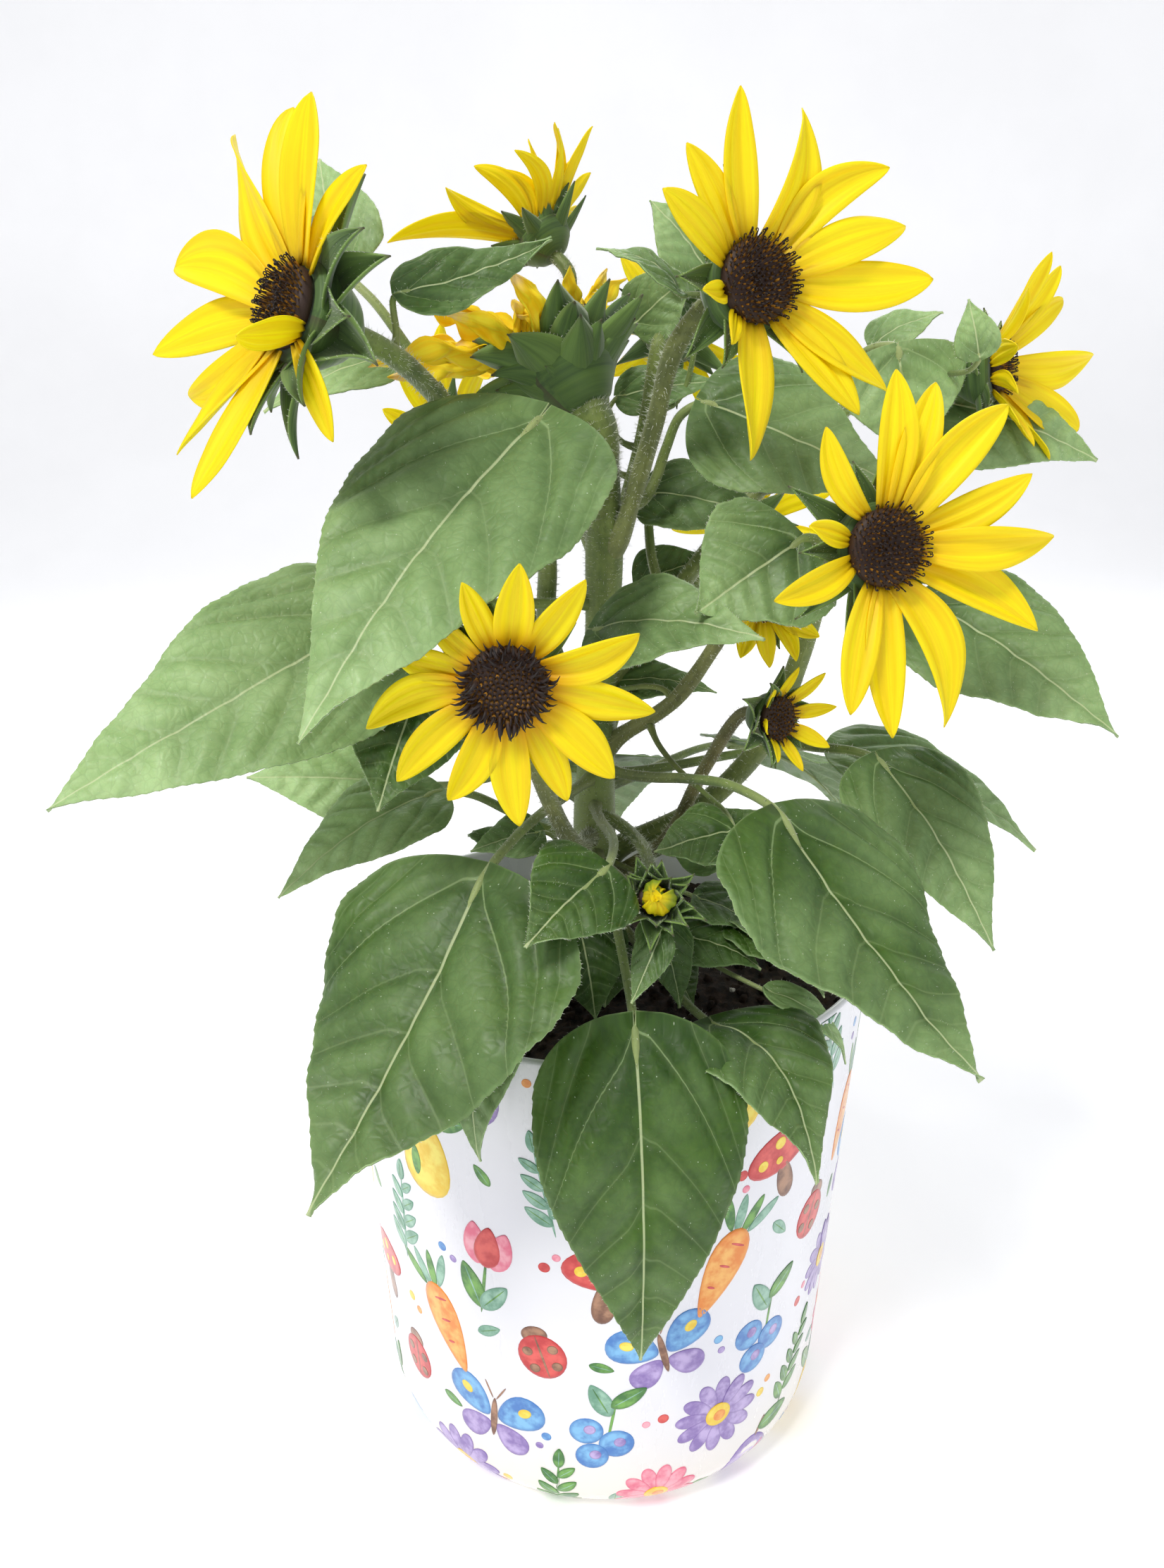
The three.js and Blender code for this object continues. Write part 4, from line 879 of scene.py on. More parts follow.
def blade_points(axes, u, s, width, arch, ruffle, seed):
    """Foot + chord u + side (half s) + normal (arch + fold - droop + veins + ruffle) for u along and s
    across the blade; half is the outline's half width with its teeth. Also the place and vein UVs,
    and how dark it is: painted shade in the grooves of the veins and midrib, and random broad patches."""
    start, chord, along, normal, side = axes
    rng = np.random.default_rng(seed)
    length = np.linalg.norm(chord)
    scale = width / FULL_WIDTH
    edge = np.abs(s)
    teeth = (u * length / 3.6) % 1.0
    tooth = 0.0075 * width * (teeth - 0.4) * smooth(0.03, 0.2, u) * smooth(1.0, 0.9, u)
    half = np.maximum(width / 2 * blade_share(u), 0.35)
    x = half * s + np.sign(s) * tooth * edge ** 10
    reach = np.abs(x) / (width / 2)
    skew = 0.03 * np.sign(s) * smooth(0.0, 0.16, reach) * rng.choice([-1, 1])
    rise = (0.42 * reach + 0.5 * reach ** 4) * np.sqrt(np.clip(1 - u, 0, 1))
    phase = np.interp(u - rise + skew, SIDE_VEINS, np.arange(len(SIDE_VEINS)) - BASAL_VEIN)
    spacing = np.interp(u - rise + skew, SIDE_VEINS, np.gradient(SIDE_VEINS)) * length * 0.75
    off = np.abs((phase + 0.5) % 1.0 - 0.5) * spacing
    fade = smooth(0.0, 0.08, u) * smooth(1.02, 0.8, u)
    basal = np.exp(-(phase / 0.6) ** 2)
    veins = -(0.55 + 0.5 * basal) * np.exp(-(off / 2.2) ** 2) * smooth(1.05, 0.5, edge)
    hollow = np.exp(-(np.minimum(off, np.abs(x)) / (6 * scale)) ** 2)
    pillow = 1.9 * scale * (1 - hollow) * smooth(1.0, 0.75, edge)
    rib = -RIB_DEPTH * scale * np.exp(-(x / (1.6 * scale)) ** 2) * (1 - 0.6 * u)
    lift = 0.12 * half * edge - 0.14 * half * s ** 2
    wave = np.zeros_like(x)
    for way in (-1, 1):
        f, p = rng.uniform(1.6, 2.8), rng.uniform(0, TURN)
        here = np.where(s * way > 0, edge ** 2.2, 0)
        wave += here * np.sin(2 * np.pi * f * u + p) * 2.1 * ruffle * scale * smooth(0.02, 0.25, u)
        wave += here ** 2 * np.sin(2 * np.pi * f * 3.1 * u + p) * 0.5 * ruffle * scale
    sway = rng.uniform(-0.02, 0.02) * length * np.sin(np.pi * u)
    flat = stack(x, u * length, 0.0)
    rough = lumps(flat, 26 * scale + 8, seed, 2) * 0.9 * fade
    z = arched(arch, length, u) + lift + wave + (veins + pillow + rib) * fade + rough
    back = 0.05 * length * s ** 2 * (1 - u) ** 4
    points = (start + chord * u[..., None] - along * back[..., None]
              + normal * z[..., None] + side * (x + sway)[..., None])
    finer = (FULL_WIDTH / max(width, 20)) ** 0.6
    # Painted shade: darker in the grooves along the side veins and the midrib; random broad patches are
    # taken off it.
    groove_shade_and_patches = (np.exp(-(off / (2.6 * scale)) ** 2) + np.exp(-(x / (3 * scale)) ** 2)) * fade
    groove_shade_and_patches -= 0.9 * lumps(flat, 46 * scale + 6, seed + 7, 2)
    place = stack(x * finer, u * length) / DECIMETRE
    return points, place, stack(phase + BASAL_PHASE, spacing * finer / DECIMETRE), groove_shade_and_patches


def stalk_path(middle, out, skin, axes, arch, count):
    """From inside the carrier out through its skin, in an arc to the foot, and on under the blade."""
    start, chord, _, normal, _ = axes
    inside = start + chord * 0.12 + normal * arched(arch, np.linalg.norm(chord), 0.12)
    leave = middle + out * (skin + GAP)
    arriving = unit(unit(inside - start) + unit((start - leave) * LEVEL))
    reach = np.linalg.norm(start - leave) * 0.35
    t = np.array([0, 0.12, 0.3, 0.5, 0.75, 1])[:, None]
    b, c = leave + out * reach, start - arriving * reach
    arc = leave * (1 - t) ** 3 + 3 * b * t * (1 - t) ** 2 + 3 * c * t ** 2 * (1 - t) + start * t ** 3
    arc[-1] -= normal * 0.7
    return spline([middle + out * 0.6 * skin, *arc, inside - normal * 1.9], count)


def rib_path(axes, arch, width, count):
    """The midrib's underside from the foot to near the tip, just below the blade."""
    start, chord, _, normal, _ = axes
    u = np.linspace(0.0, 0.86, count)[:, None]
    z = arched(arch, np.linalg.norm(chord), u) - RIB_DEPTH * width / FULL_WIDTH * (1 - 0.6 * u) - 1.0
    return start + chord * u + normal * z


def add_bristles(points, count):
    """Short bristles along both edges and over the face of a blade."""
    m, n = points.shape[:2]
    normal, across = face_normal(points), unit(np.gradient(points, axis=1))
    i = RNG.integers(2, m - 2, count)
    j = np.where(RNG.random(count) < 0.5, 0, n - 1)
    outward = across[i, j] * np.where(j == 0, -1, 1)[:, None]
    outward += normal[i, j] * RNG.uniform(-0.2, 0.8, (count, 1))
    ways = unit(outward + RNG.normal(0, 0.25, (count, 3)))
    add_cones(points[i, j], ways, RNG.uniform(0.4, 1, count) * BRISTLE, 0.06)
    i, j = RNG.integers(2, m - 2, count), RNG.integers(2, n - 2, count)
    ways = unit(normal[i, j] + RNG.normal(0, 0.3, (count, 3)))
    add_cones(points[i, j] + normal[i, j] * 0.25, ways, RNG.uniform(0.4, 1, count) * BRISTLE * 0.8, 0.05)


stalks = Piece()


def add_leaf(piece, spec, seed, stations, columns):
    """A blade with its leaf stalk, midrib, hairs and bristles."""
    carrier, at, foot, tip, width, roll, arch, tone, ruffle = spec
    axes = leaf_axes(foot, tip, roll)
    u = np.linspace(0, 1, stations)
    u = u + 0.06 * np.sin(2 * np.pi * u) / (2 * np.pi)
    s = np.linspace(-1, 1, columns)
    u, s = np.meshgrid(np.clip(u, 0.0, 1.0), np.sign(s) * np.abs(s) ** 0.85, indexing="ij")
    points, place, vein, groove_shade_and_patches = blade_points(axes, u, s, width, arch, ruffle, seed)
    # Painted shade toward the foot and painted light toward the tip, more on paler leaves; a pale rim at
    # the edge, the margin's own colour; painted shade in the grooves.
    shade = tone * (0.6 + 0.4 * smooth(0.05, 0.55, u)) + 0.16 * (u - 0.4)
    shade += (0.1 + 0.45 * tone) * smooth(0.55, 1.0, u) + 0.3 * smooth(0.95, 1.0, np.abs(s))
    shade = np.clip(shade + 0.05 - 0.16 * groove_shade_and_patches, 0, 1)
    piece.sheet(points, BLADE_THICK, place, vein, shade, under=shade + 2.0)
    middle, out, skin = leaf_start(carrier, at, foot)
    large = width > LARGE
    path = stalk_path(middle, out, skin, axes, arch, 46 if large else 24)
    share = np.linspace(0, 1, len(path))
    flare = 0.9 * np.exp(-(share / 0.06) ** 2) * (skin / 6)
    radius = (2.1 - 0.8 * share if large else 1.1 - 0.3 * share) + flare
    add_stem(stalks, path, radius, 10, 0.04, 0.35 - 0.35 * tone - smooth(0.3, 1.0, share) * 0.9)
    rib = rib_path(axes, arch, width, 30)
    thick = (1.25 if large else 0.45) * (1 - np.linspace(0, 0.9, len(rib)))
    add_stem(stalks, rib, thick, 8, 0.0, -0.6 if large else -0.25)
    add_hairs(path, radius, 160 if large else 40, 1.3, 0.1)
    add_bristles(points, 170 if large else 50)


for index, (name, spec) in enumerate(LEAVES.items()):
    blade = Piece()
    stations, columns = (140, 41) if spec[4] > 40 else (100, 31)
    add_leaf(blade, spec, 100 + index, stations, columns)
    blade.make("blade_" + name, LEAF, "leaf", ["leaf_" + name])
small_leaves = Piece()
for index, spec in enumerate(SMALL_LEAVES):
    add_leaf(small_leaves, spec, 200 + index, 58, 21)
small_leaves.make("small_leaves", LEAF, "leaf")
stalks.make("leaf_stalks", STEM, "stem")


# Blooms.

def ray_points(angle, start, length, width, rise, bend, drop, root_share, u, s,
               sway=0.0, twist=0.0, cup=0.12, ridge=0.0, wilt=0.0, blunt=2.6, seed=0, outline=None):
    """A ray or bract in the head's frame. Its angle rises by bend over its length, so radially it runs
    (sin(e + bu) - sin e) / b and forward (cos e - cos(e + bu)) / b, times length. Its half width is
    root_share opening to 1 and closing to a point, later as blunt grows, and its edges stand up by
    cup. An outline takes its place."""
    turn, e, b = np.radians(angle), np.radians(rise), np.radians(bend if abs(bend) > 0.1 else 0.1)
    out = around(turn)
    side = np.cross(UP, out)
    climb = e + b * u
    radial = start + length * (np.sin(climb) - np.sin(e)) / b
    forward = length * (np.cos(e) - np.cos(climb)) / b - drop
    share = (1 - (1 - root_share) * (1 - u) ** 3) * np.clip(1 - np.clip(u, 0, 1) ** blunt, 0, 1) ** 0.78
    half = np.maximum(width / 2 * share * 1.16, 0.12)
    roll = (twist * u ** 1.5 + wilt * 0.9 * np.sin(7 * u + seed) * u)[..., None]
    lift = cup * half * np.abs(s) ** 1.6 + ridge * (np.cos(3 * np.pi * s) - 1) * 0.5 * smooth(1.0, 0.7, u)
    if outline is not None:
        half = width / 2 * outline
    if wilt:
        crease = 0.35 * np.sin(9 * u + 3.2 * s + seed) + 0.25 * np.sin(17 * u - 5 * s + 2 * seed)
        lift = lift + wilt * half * crease
    face = around(turn, -np.sin(climb), np.cos(climb))
    across = side * np.cos(roll) + face * np.sin(roll)
    up = face * np.cos(roll) - side * np.sin(roll)
    lean = sway * length * (u ** 2 - 0.85 * u) + wilt * 2.2 * np.sin(6 * u + seed)
    return (out * radial[..., None] + UP * forward[..., None] + side * lean[..., None]
            + across * (half * s * (1 - 0.35 * wilt))[..., None] + up * lift[..., None])


def strip(stations, columns):
    u, s = np.meshgrid(np.linspace(0, 1, stations) ** 0.9, np.linspace(-1, 1, columns), indexing="ij")
    return u, s, stack(s * 0.5 + 0.5, u)


PETAL_TONE = {"young": 1.0, "opening": 0.6, "bud": 2.0}
SPREAD = {"open": 0.88, "young": 1.0, "opening": 0.95, "fading": 0.95, "bud": 0.8}
PETAL_THICK = 0.35
BRACT_THICK = 0.5
GOLDEN_ANGLE = np.radians(137.508)
# How far out from the middle the disc's florets are still buds.
BUDS_TO = {"open": 0.3, "young": 0.62, "fading": 0.1, "opening": 0.75, "bud": 2.0}


def add_ray(piece, bloom, rng, angle, reach, rise, wide=1.0):
    """One ray with its own sway, twist and bend, as its bloom's stage of life has them."""
    disc, look = bloom["disc"], bloom["look"]
    start = disc * 0.78
    bend = -12 + rng.normal(0, 13)
    width = max(reach * bloom.get("ray_width", 0.25), 4) * wide * rng.uniform(0.9, 1.1)
    wave = bloom.get("wave", 1.0)
    shape = dict(sway=wave * rng.normal(0, 0.26), twist=wave * np.clip(rng.normal(0, 0.45), -0.8, 0.8),
                 cup=rng.uniform(0.15, 0.55), ridge=0.75, blunt=rng.uniform(2.4, 3.6))
    tone = PETAL_TONE.get(look, 0.0)
    if look == "fading":
        shape.update(wilt=rng.uniform(0.4, 0.95), twist=rng.normal(0, 0.9), seed=rng.uniform(0, TURN),
                     ridge=0.3)
    if look == "opening":
        shape.update(sway=0, twist=rng.normal(0, 0.12), ridge=0.3, cup=0.35, blunt=2.4)
    if look == "bud":
        shape.update(sway=rng.uniform(-0.2, 0.6), twist=rng.uniform(-0.5, 0.7), ridge=0.5, cup=0.6,
                     blunt=1.8)
        start = disc * rng.uniform(0.25, 0.75)
        bend, reach, width = rng.uniform(60, 112), start + disc * rng.uniform(1.8, 2.7), disc * 1.15
        tone -= 0.5 * rng.random()
    u, s, place = strip(26, 13)
    points = ray_points(angle, start, reach - start, width, rise - bend / 2, bend, 0, 0.42, u, s, **shape)
    piece.sheet(in_place(bloom, points), PETAL_THICK, place + [rng.integers(0, 40), 0], tone=tone)


def add_rays(piece, bloom, rng):
    """The rays of the list. A fading head has two shorter, more withered ones beside each."""
    for angle, reach, rise, *wide in bloom["rays"]:
        add_ray(piece, bloom, rng, angle, reach, rise, *wide)
        if bloom["look"] == "fading":
            for way in (-1, 1):
                turn = angle + way * rng.uniform(6, 16)
                short = reach * rng.uniform(0.6, 0.85)
                add_ray(piece, bloom, rng, turn, short, rise + rng.uniform(4, 30), 1.2)


def dome_height(share, disc):
    """The disc's face: PLATE / 2 + top (0.8 + 0.2 smooth) sqrt(1 - share^5), with a dimple."""
    top = disc * DOME_PER_DISC
    return PLATE / 2 + top * (0.8 + 0.2 * smooth(0, 0.66, share)) * np.sqrt(np.clip(1 - share ** 5, 0, 1))


def floret(kind):
    """One floret on Z, as rings with a tone each: a bud 1 high, a taller tube whose stigma curls over,
    or one that points outward."""
    if kind == "bud":
        path = stack(0.0, 0.0, np.array([-0.6, 0.3, 0.75, 1.0]))
        radius, tone = [0.42, 0.5, 0.38, 0.05], [0.1, 0.35, 0.6, 0.9]
    elif kind == "open":
        a = np.linspace(0, 1, 7) * 4.6
        curl = stack(0.42 * (1 - np.cos(a)), 0.0, 2.9 + 0.42 * np.sin(a))
        path = np.vstack([[[0, 0, -0.8], [0, 0, 0.6], [0.03, 0, 1.6], [0, 0, 2.5]], curl])
        radius, tone = [0.3, 0.34, 0.28] + [0.19] * 8, [0.05, 0.25, 0.5, 0.7] + [1.0] * 7
    else:
        path = np.array([[0, 0, -0.6], [0, 0, 0.6], [0.2, 0, 1.4], [0.9, 0, 2.1], [1.9, 0, 2.2]])
        radius, tone = [0.4, 0.45, 0.36, 0.2, 0.05], [0.05, 0.4, 0.7, 0.9, 1.0]
    return tube_grid(path, radius, 5), np.array(tone)


def add_florets(piece, bloom, rng):
    """Florets on a sunflower spiral, the nth at r = R sqrt(n / N), 137.5 degrees from the last,
    each standing square to the dome: buds in the middle, open ones towards the rim."""
    look = bloom["look"]
    disc = bloom["disc"] * bloom.get("spread", SPREAD[look])
    total = 0 if look == "bud" else int(1.5 * disc ** 2)
    n = np.arange(total) + 0.5
    share = np.sqrt(n / max(total, 1)) * 0.97
    turn = n * GOLDEN_ANGLE
    place = around(turn, share * disc, dome_height(share, disc))
    stand = unit(around(turn) * (share ** 3 * 0.75)[:, None] + UP + rng.normal(0, 0.09, (total, 3)))
    for kind in ("bud", "open" if look in ("open", "fading") else "pointed"):
        chosen = np.flatnonzero((share < BUDS_TO[look]) == (kind == "bud"))
        many = len(chosen)
        if not many:
            continue
        grid, tone = floret(kind)
        size = 0.95 * rng.uniform(0.75, 1.15, many) * (1.15 if kind == "bud" else 1) * (disc / 13) ** 0.5
        if look == "young" and kind == "bud":
            tone = tone * 0.75
        elif look == "young":
            size = size * rng.uniform(0.7, 1.9, many)
        if kind == "open":
            first = around(rng.uniform(0, 2 * np.pi, many))
        else:
            first = around(turn[chosen] + rng.normal(0, 0.5, many))
        ahead = stand[chosen]
        first = unit(first - ahead * np.sum(first * ahead, axis=1, keepdims=True))
        axes = np.stack([first, np.cross(ahead, first), ahead], axis=1)
        points = np.einsum("mnk,fkc->fmnc", grid, axes) * size[:, None, None, None]
        points += place[chosen][:, None, None]
        golden = rng.random(many) < (0.3 if kind == "open" else 0.05)
        for rings, gold in zip(points, golden):
            piece.ring_solid(in_place(bloom, rings), tone=np.where(gold & (tone < 0.6), 1.6, tone))
    profile = [[0.01, -0.6], [disc * 0.93, -0.6], [disc * 0.95, 0.3]]
    profile += [[disc * w, dome_height(w, disc) - 0.5] for w in (0.93, 0.85, 0.7, 0.5, 0.3, 0.1, 0.001)]
    piece.ring_solid(in_place(bloom, lathe_grid(profile, 28)), tone=0.5)


def bract_share(u):
    """Broad near the root, then drawn out to a long thin tip: 1.86 (u + 0.35)^0.6 (1 - u)^1.35."""
    return np.maximum(1.86 * (u + 0.35) ** 0.6 * (1 - u) ** 1.35, 0.02)


CUP_SHAPE = np.array([[0.02, -1.0], [0.36, -1.0], [0.6, -0.86], [0.85, -0.6], [0.97, -0.44], [1.02, -0.28],
                      [0.98, -0.12], [0.9, -0.06], [0.02, -0.06]])


def add_cup(piece, bloom, rng):
    """The cup behind the rays, and rows of bracts with drawn-out tips. A row is a shift in steps, the
    start in disc radii, a size, the rise, how far down the cup as a share of its depth, and the bend."""
    disc, look = bloom["disc"], bloom["look"]
    depth = disc * DEPTH_PER_DISC
    t = np.linspace(0, len(CUP_SHAPE) - 1, 33)
    profile = stack(*[np.interp(t, np.arange(len(CUP_SHAPE)), column) for column in CUP_SHAPE.T])
    grid = lathe_grid(profile * [disc, depth * bloom.get("cup", 1.0)], 32)
    grid = grid + unit(grid) * (lumps(grid, disc * 0.6, 5) * 0.02 * disc)[..., None]
    piece.ring_solid(in_place(bloom, grid))
    count, length, width, rise = bloom.get("bracts", DEFAULT_BRACTS)
    u, s, place = strip(20, 9)
    wide = {"fading": 1.2, "bud": 0.85}.get(look, 1.05)
    rows = [(0, 0.75, 1.0, rise, 0.42, -10), (0.5, 0.82, 0.85, rise + 12, 0.26, -18)]
    if look == "fading":
        rows += [(0.25, 0.6, 0.95, rise + 6, 0.66, 6), (0.75, 0.4, 0.8, rise + 20, 0.86, 16)]
    if look == "bud":
        rows += [(0.25, 0.85, 0.9, rise + 34, 0.2, 26), (0.75, 0.85, 1.0, rise + 20, 0.25, -6)]
    for shift, start, size, climb, low, bend in rows:
        for k in range(count):
            grow = rng.uniform(0.78, 1.16) * size
            curve = bend + rng.normal(0, 18)
            points = in_place(bloom, ray_points(
                360 * (k + 0.5 + shift) / count + rng.normal(0, 9), disc * start, disc * length * grow,
                disc * max(width, 0.62) * wide, climb - curve / 2 - 6, curve, depth * low, 0.8, u, s,
                sway=rng.normal(0, 0.07), twist=rng.normal(0, 0.3), cup=rng.uniform(0.3, 0.6),
                outline=bract_share(u)))
            shade = rng.uniform(0, 0.35) + 0.45 * np.abs(s) ** 6
            piece.sheet(points, BRACT_THICK, place + [rng.integers(0, 40), 0], tone=shade)
            add_bristles(points, {"fading": 60, "bud": 10}.get(look, 30))


cups = Piece()
for index, (name, bloom) in enumerate(BLOOMS.items()):
    rng = np.random.default_rng(500 + index)
    petals, florets = Piece(), Piece()
    add_rays(petals, bloom, rng)
    skin, part = (FADED, "petal_faded") if bloom["look"] == "fading" else (PETAL, "petal")
    petals.make("petals_" + name, skin, part, ["bloom_" + name])
    add_florets(florets, bloom, rng)
    solid = ["disc_" + name] if "disc_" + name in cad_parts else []
    florets.make("florets_" + name, FLORET, "disc", solid)
    add_cup(cups, bloom, rng)
cups.make("cups_and_bracts", BRACT, "stem")
hairs.make("leaf_bristles", HAIR, "stem", shade_flat=True)


# Pot and soil.

def wall_radius(z):
    return POT["foot"] + (POT["rim"] - POT["foot"]) * z / POT["height"]


# How far below the rim the lip starts, and the rows of the profile that lie on the printed outside.
LIP = 1.6
OUTSIDE = slice(3, 40)


def pot_profile():
    """The pot's section: flat foot, round corner, leaning wall, rounded lip and the inside."""
    c, wall, top = POT["corner"], POT["wall"], POT["height"]
    a = np.linspace(0, np.pi / 2, 16)
    z = c * (1 - np.cos(a))
    corner = stack(wall_radius(z) - c * (1 - np.sin(a)), z)
    up = np.linspace(c, top - LIP, 24)[1:]
    b = np.linspace(0, np.pi, 9)[1:-1]
    lip = stack(wall_radius(top) - wall / 2 + wall / 2 * np.cos(b), top - wall / 2 + wall / 2 * np.sin(b))
    down = np.linspace(top - LIP, c, 8)
    floor = [[wall_radius(c) - wall - c * 0.6, POT["floor"]], [0.5, POT["floor"]]]
    return np.vstack([[[0.5, 0]], corner, stack(wall_radius(up), up), lip,
                      stack(wall_radius(down) - wall, down), floor])


pot = Piece()
pot.ring_solid(lathe_grid(pot_profile(), 160))
pot.make("pot_body", GLAZE, "pot", ["pot"])

# The print's inks, each as a pale and a deep wash.
INKS = {
    "red": ((232, 92, 84), (196, 34, 40)), "pink": ((250, 176, 190), (232, 104, 134)),
    "orange": ((252, 190, 96), (236, 134, 30)), "yellow": ((252, 232, 96), (240, 198, 22)),
    "green": ((118, 176, 74), (48, 112, 40)), "sage": ((158, 200, 178), (98, 152, 124)),
    "blue": ((128, 192, 236), (62, 122, 196)), "lilac": ((196, 176, 224), (134, 108, 178)),
    "brown": ((178, 132, 100), (112, 70, 48)),
}


def moved(outline, x=0.0, y=0.0, turn=0.0):
    """An outline turned by degrees about 0, 0 and then moved."""
    c, s = np.cos(np.radians(turn)), np.sin(np.radians(turn))
    return outline @ np.array([[c, s], [-s, c]]) + [x, y]


def mark(ink, length, width, x=0.0, y=0.0, turn=0.0, tip=1.0, belly=0.0):
    """A painted drop at x, y: x = w/2 sin a |sin a|^(tip - 1) (1 + belly cos a), y = -l/2 cos a."""
    a = circle(26)
    across = width / 2 * np.sin(a) * np.abs(np.sin(a)) ** (tip - 1) * (1 + belly * np.cos(a))
    return ink, moved(stack(across, -length / 2 * np.cos(a)), x, y, turn)


def leaf(x, y, turn, size, ink="green"):
    """A painted leaf whose foot is at x, y, with a line of another green along it."""
    c, s = np.cos(np.radians(turn)), np.sin(np.radians(turn))
    middle = (x - s * size / 2, y + c * size / 2, turn)
    line = "sage" if ink == "green" else "green"
    return [mark(ink, size, size * 0.46, *middle, 1.35, 0.2), mark(line, size * 0.8, size * 0.035, *middle)]


def tulip():
    cups = [mark("pink", 12, 6.4, x, 4, turn, 1.25, 0.25) for x, turn in ((-3.2, 10), (3.2, -10))]
    return [mark("green", 17, 0.9, 0, -8), *leaf(0, -15, 28, 13), *leaf(0, -15, -32, 11, "sage"),
            *cups, mark("red", 12, 6.6, 0, 4, 0, 1.2, 0.3)]


def lemon():
    return [mark("yellow", 21, 14), mark("yellow", 5, 4, 0, -10.5), mark("yellow", 4, 4, 0, 10),
            mark("orange", 9, 1.4, 4.2, -2, -14, 1.3), *leaf(0, 11, 62, 12), *leaf(0, 11, -48, 9, "sage")]


def pear():
    return [mark("yellow", 23, 16, 0, -2, 0, 1.0, 0.34), mark("green", 9, 3.4, -3.6, -5, 12, 1.2),
            mark("brown", 6, 1.1, 0.4, 11.5, -12), *leaf(0.5, 11, -64, 11)]


def butterfly():
    marks = []
    for way in (-1, 1):
        marks += [mark("blue", 15, 11, way * 7.4, 4.6, -way * 52, 1.1, -0.3),
                  mark("lilac", 11, 8, way * 5.4, -5.6, -way * 128, 1.1, -0.3),
                  mark("yellow", 4, 3, way * 8.8, 5.8, -way * 52),
                  mark("brown", 6, 0.5, way * 1.8, 9.6, -way * 26)]
    return [*marks, mark("brown", 14, 2.0, tip=1.1)]


def berries():
    marks = [mark("green", 16, 0.8, 0, 4, 14)]
    for x, y, size in ((-4.6, -2.4, 9), (4.4, -3.4, 9.4), (0.2, -10, 8.8)):
        marks += [mark("blue", size, size, x, y), mark("lilac", 3.2, 3.2, x + 0.6, y + 0.8)]
    return [*marks, *leaf(-1, 5, 48, 12, "sage"), *leaf(-2, 8, -34, 11)]


def sprig(ink):
    marks = [mark(ink, 27, 0.9)]
    for k in range(4):
        marks += leaf(0, -10 + 5.4 * k, 46, 8.6 - 0.8 * k, ink)
        marks += leaf(0, -7.6 + 5.4 * k, -46, 8.2 - 0.8 * k, ink)
    return [*marks, *leaf(0, 12, 0, 6.5, ink)]


def daisy(ink):
    _, petal = mark(ink, 9.5, 4.2, 0, 7, 0, 1.05, -0.2)
    return [*[(ink, moved(petal, turn=30 * k)) for k in range(12)], mark("yellow", 7, 7),
            mark("orange", 3.4, 3.4, 0.4, -0.4)]


def toadstool():
    dots = ((-6, 2, 3), (0, 5.4, 3.4), (5.6, 2.6, 2.8), (-1, 0.4, 2.2))
    return [mark("brown", 13, 5.4, 0, -6, 0, 1.0, 0.3), mark("red", 12, 21, 0, 3, 0, 1.0, 0.1),
            *[mark("yellow", w, w, x, y) for x, y, w in dots]]


def carrot():
    fronds = [mark("sage" if k % 2 else "green", 11, 2.8, 3.6 * (k - 1.5), 12, 22 * (1.5 - k), 1.3)
              for k in range(4)]
    bands = [mark("red", 4.2 - k, 0.7, 1.2 - k, 4 - 6 * k, 84) for k in range(3)]
    return [*fronds, mark("orange", 25, 9.5, 0, -4, 0, 1.05, -0.5), *bands]


def ladybird():
    spots = [mark("brown", 2.8, 2.8, x, y) for x, y in ((-3.4, 2), (3.4, 2), (-3, -3.4), (3, -3.4))]
    return [mark("brown", 5.5, 7, 0, 7), mark("red", 14, 12.6), mark("brown", 13.4, 0.6), *spots]


def plum():
    return [mark("lilac", 17, 14, -2, -2), mark("pink", 11, 2, 1.6, -2, -8, 1.2),
            mark("brown", 6, 1.0, -1, 8.6, -16), *leaf(-1.5, 8, -72, 12)]


MOTIFS = [tulip(), lemon(), sprig("green"), butterfly(), toadstool(), pear(), daisy("pink"), berries(),
          carrot(), sprig("sage"), plum(), daisy("lilac"), ladybird()]
FILLERS = [leaf(0, -4, 20, 9, "sage"), [mark("red", 3.6, 3.6), mark("pink", 2.6, 2.6, 4.4, 3.4)],
           leaf(0, -4, -30, 8), [mark("yellow", 3.4, 3.4), mark("orange", 2.8, 2.8, -4, -3)],
           [mark("blue", 3.2, 3.2), mark("lilac", 2.6, 2.6, 3.6, -3.4)]]


# How far the films of the print are sunk in the glaze, how far the first mark stands proud, and how
# much more the next does.
FILM_SUNK = 0.04
FILM_PROUD = 0.05
FILM_STEP = 0.015


def print_on(prints, marks, angle, height, turn, size):
    """Marks laid on the pot's outside, height measured up along its section from the foot. Each is a
    closed film of rings from its middle, 0.05 mm proud, and 0.015 mm more for each mark before it."""
    outside = pot_profile()[OUTSIDE]
    run = run_along(outside)
    slope = unit(np.gradient(outside, run, axis=0))
    shares = np.array([0.02, 0.4, 0.75, 0.92, 1.0, 1.0, 0.02])
    top = np.array([1, 1, 1, 1, 1, 0, 0])
    for order, (ink, outline) in enumerate(marks):
        outline = moved(outline * size, turn=turn)
        middle = outline.mean(axis=0)
        lift = (top * (FILM_SUNK + FILM_PROUD + FILM_STEP * order) - FILM_SUNK)[:, None]
        flat = middle + (outline - middle) * shares[:, None, None]
        spot = [np.interp(height + flat[..., 1], run, column) for column in (*outside.T, *slope.T)]
        grid = around(angle + flat[..., 0] / spot[0], spot[0] + lift * spot[3], spot[1] - lift * spot[2])
        prints[ink].ring_solid(grid, tone=shares)


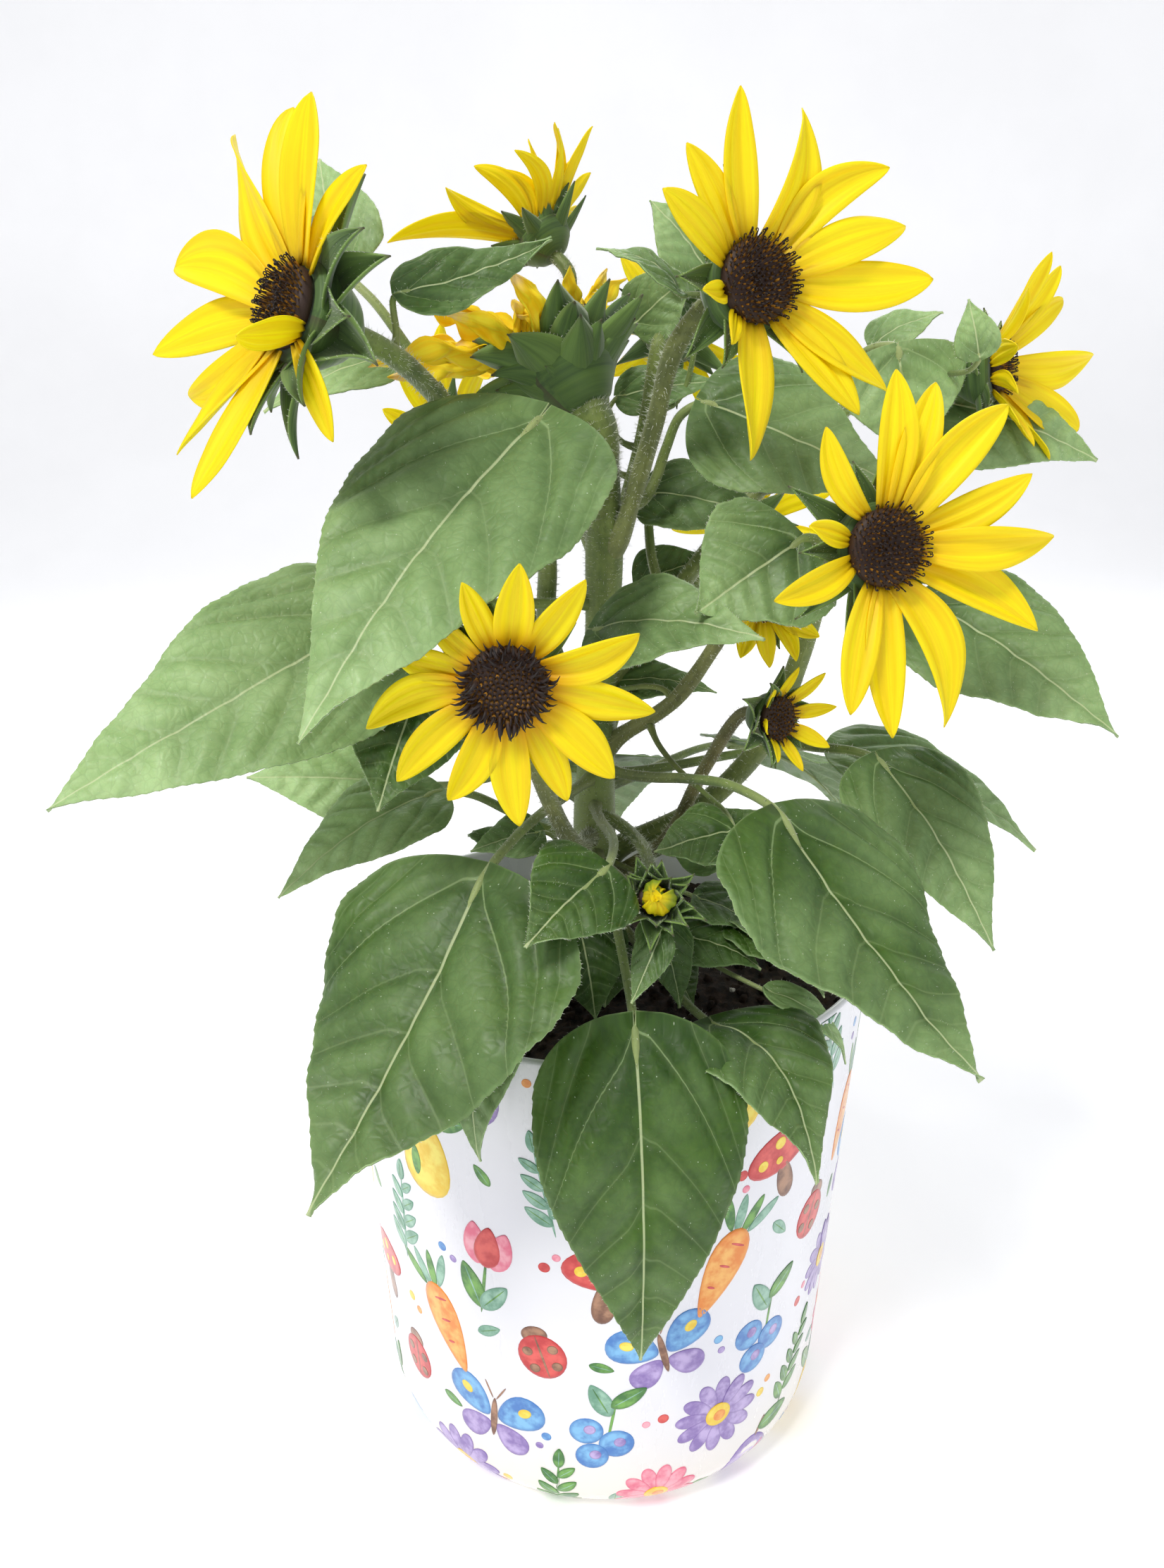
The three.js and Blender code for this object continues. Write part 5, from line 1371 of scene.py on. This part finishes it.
def pot_print():
    """Rows of motifs round the pot, every second row moved half a step, and small marks between."""
    prints = {ink: Piece() for ink in INKS}
    rng = np.random.default_rng(12)
    rows, columns, step = 6, 14, 35
    for row in range(rows):
        for column in range(columns):
            angle = 2 * np.pi * (column + 0.5 * (row % 2) + rng.uniform(-0.06, 0.06)) / columns
            height = 18 + step * row + rng.uniform(-2.5, 2.5)
            motif = MOTIFS[(5 * row + 4 * column + (column // 7)) % len(MOTIFS)]
            print_on(prints, motif, angle, height, rng.uniform(-28, 28), rng.uniform(1.3, 1.5))
            between = angle + np.pi / columns
            filler = FILLERS[(row + 2 * column) % len(FILLERS)]
            print_on(prints, filler, between, height + rng.uniform(-4, 4), rng.uniform(0, 360), 1.15)
    for ink, piece in prints.items():
        piece.make("print_" + ink, painted(ink, *INKS[ink]), "pot")


pot_print()


def soil_height(reach):
    return SOIL["top"] + SOIL["mound"] * smooth(92, 20, reach)


def soil_reach(z):
    """The soil's radius, a gap inside the pot's wall."""
    return wall_radius(z) - POT["wall"] - SOIL["gap"]


soil = Piece()
reach = np.concatenate([[0.3], np.linspace(2, soil_reach(SOIL["top"]), 84)])[:, None]
face = around(circle(230), reach, soil_height(reach))
face[..., 2] += lumps(face, 26, 1) * 1.3 + np.abs(lumps(face, 7, 2)) * 1.9 - 0.6
sides = lathe_grid([[soil_reach(172), 172], [soil_reach(120), 120], [60, 118], [0.3, 118]], 230)
soil.ring_solid(np.vstack([face, sides])[::-1])

LATITUDES = np.radians([-72, -36, 0, 36, 72])
ROCK = lathe_grid(stack(np.cos(LATITUDES), np.sin(LATITUDES)), 7)


def scatter(piece, count, sizes, rng):
    """Lumps strewn over the soil, each squashed and turned at random."""
    out = np.sqrt(rng.uniform(0.02, 1, count)) * (soil_reach(SOIL["top"]) - 2)
    turn = rng.uniform(0, 2 * np.pi, count)
    for spot in around(turn, out, soil_height(out) + 0.5):
        grid = ROCK * rng.uniform(0.6, 1.2, 3) * rng.uniform(*sizes)
        grid = grid * (1 + 0.16 * rng.normal(size=grid.shape[:2]))[..., None]
        spin = np.linalg.qr(rng.normal(size=(3, 3)))[0]
        piece.ring_solid(grid @ (spin * np.sign(np.linalg.det(spin))) + spot)


scatter(soil, 520, (0.8, 2.6), np.random.default_rng(8))
soil.make("soil_surface", EARTH, "soil", ["soil"])
perlite = Piece()
scatter(perlite, 26, (0.8, 1.9), np.random.default_rng(9))
perlite.make("perlite_grains", PERLITE, "soil", shade_flat=True)


# Floor, light and camera.

def backdrop():
    """A floor that curves up into a wall behind: a quarter circle between the two."""
    bend, far, tall, half = 0.9, 2.3, 3.2, 4.0
    a = np.linspace(0, np.pi / 2, 25)
    curve = stack(far + bend * np.sin(a), bend * (1 - np.cos(a)))
    profile = np.vstack([[-3.0, 0.0], curve, [far + bend, tall]]) - [0, 0.0004]
    n = len(profile)
    points = [(x, float(y), float(z)) for x in (-half, half) for y, z in profile]
    mesh = bpy.data.meshes.new("studio_floor")
    mesh.from_pydata(points, [], [(k, k + n, k + n + 1, k + 1) for k in range(n - 1)])
    mesh.polygons.foreach_set("use_smooth", np.full(n - 1, True))
    mesh.materials.append(FLOOR)
    made = bpy.data.objects.new("studio_floor", mesh)
    bpy.context.scene.collection.objects.link(made)


backdrop()


def soft_light(name, place, aim, size, power, colour):
    lamp = bpy.data.lights.new(name, "AREA")
    lamp.shape = "DISK"
    lamp.size = size
    lamp.energy = power
    lamp.color = colour
    made = bpy.data.objects.new(name, lamp)
    made.location = place
    x, y, z = np.subtract(aim, place)
    made.rotation_euler = (np.arctan2(np.hypot(x, y), -z), 0, np.arctan2(-x, y))
    bpy.context.scene.collection.objects.link(made)


soft_light("key", (-0.9, -1.3, 2.2), (0, 0, 0.3), 0.6, 40, (1.0, 0.98, 0.95))
soft_light("fill", (1.5, -1.3, 1.2), (0, 0, 0.25), 1.8, 6, (0.95, 0.97, 1.0))
soft_light("back", (0.3, 1.8, 1.8), (0, 0, 0.3), 1.5, 16, (1.0, 1.0, 1.0))

world = bpy.data.worlds.new("studio")
world.use_nodes = True
world.node_tree.nodes["Background"].inputs["Color"].default_value = (0.93, 0.95, 1.0, 1.0)
world.node_tree.nodes["Background"].inputs["Strength"].default_value = 0.52
bpy.context.scene.world = world

bpy.context.scene.view_settings.view_transform = "Standard"

eye = bpy.data.cameras.new("camera")
eye.lens = 26
eye.sensor_width = 36
eye.clip_start = 0.01
camera = bpy.data.objects.new("camera", eye)
camera.location = (-0.0087, -0.402, 0.3874)
camera.rotation_euler = (np.radians(90 - 17.8), 0, 0)
bpy.context.scene.collection.objects.link(camera)
bpy.context.scene.camera = camera
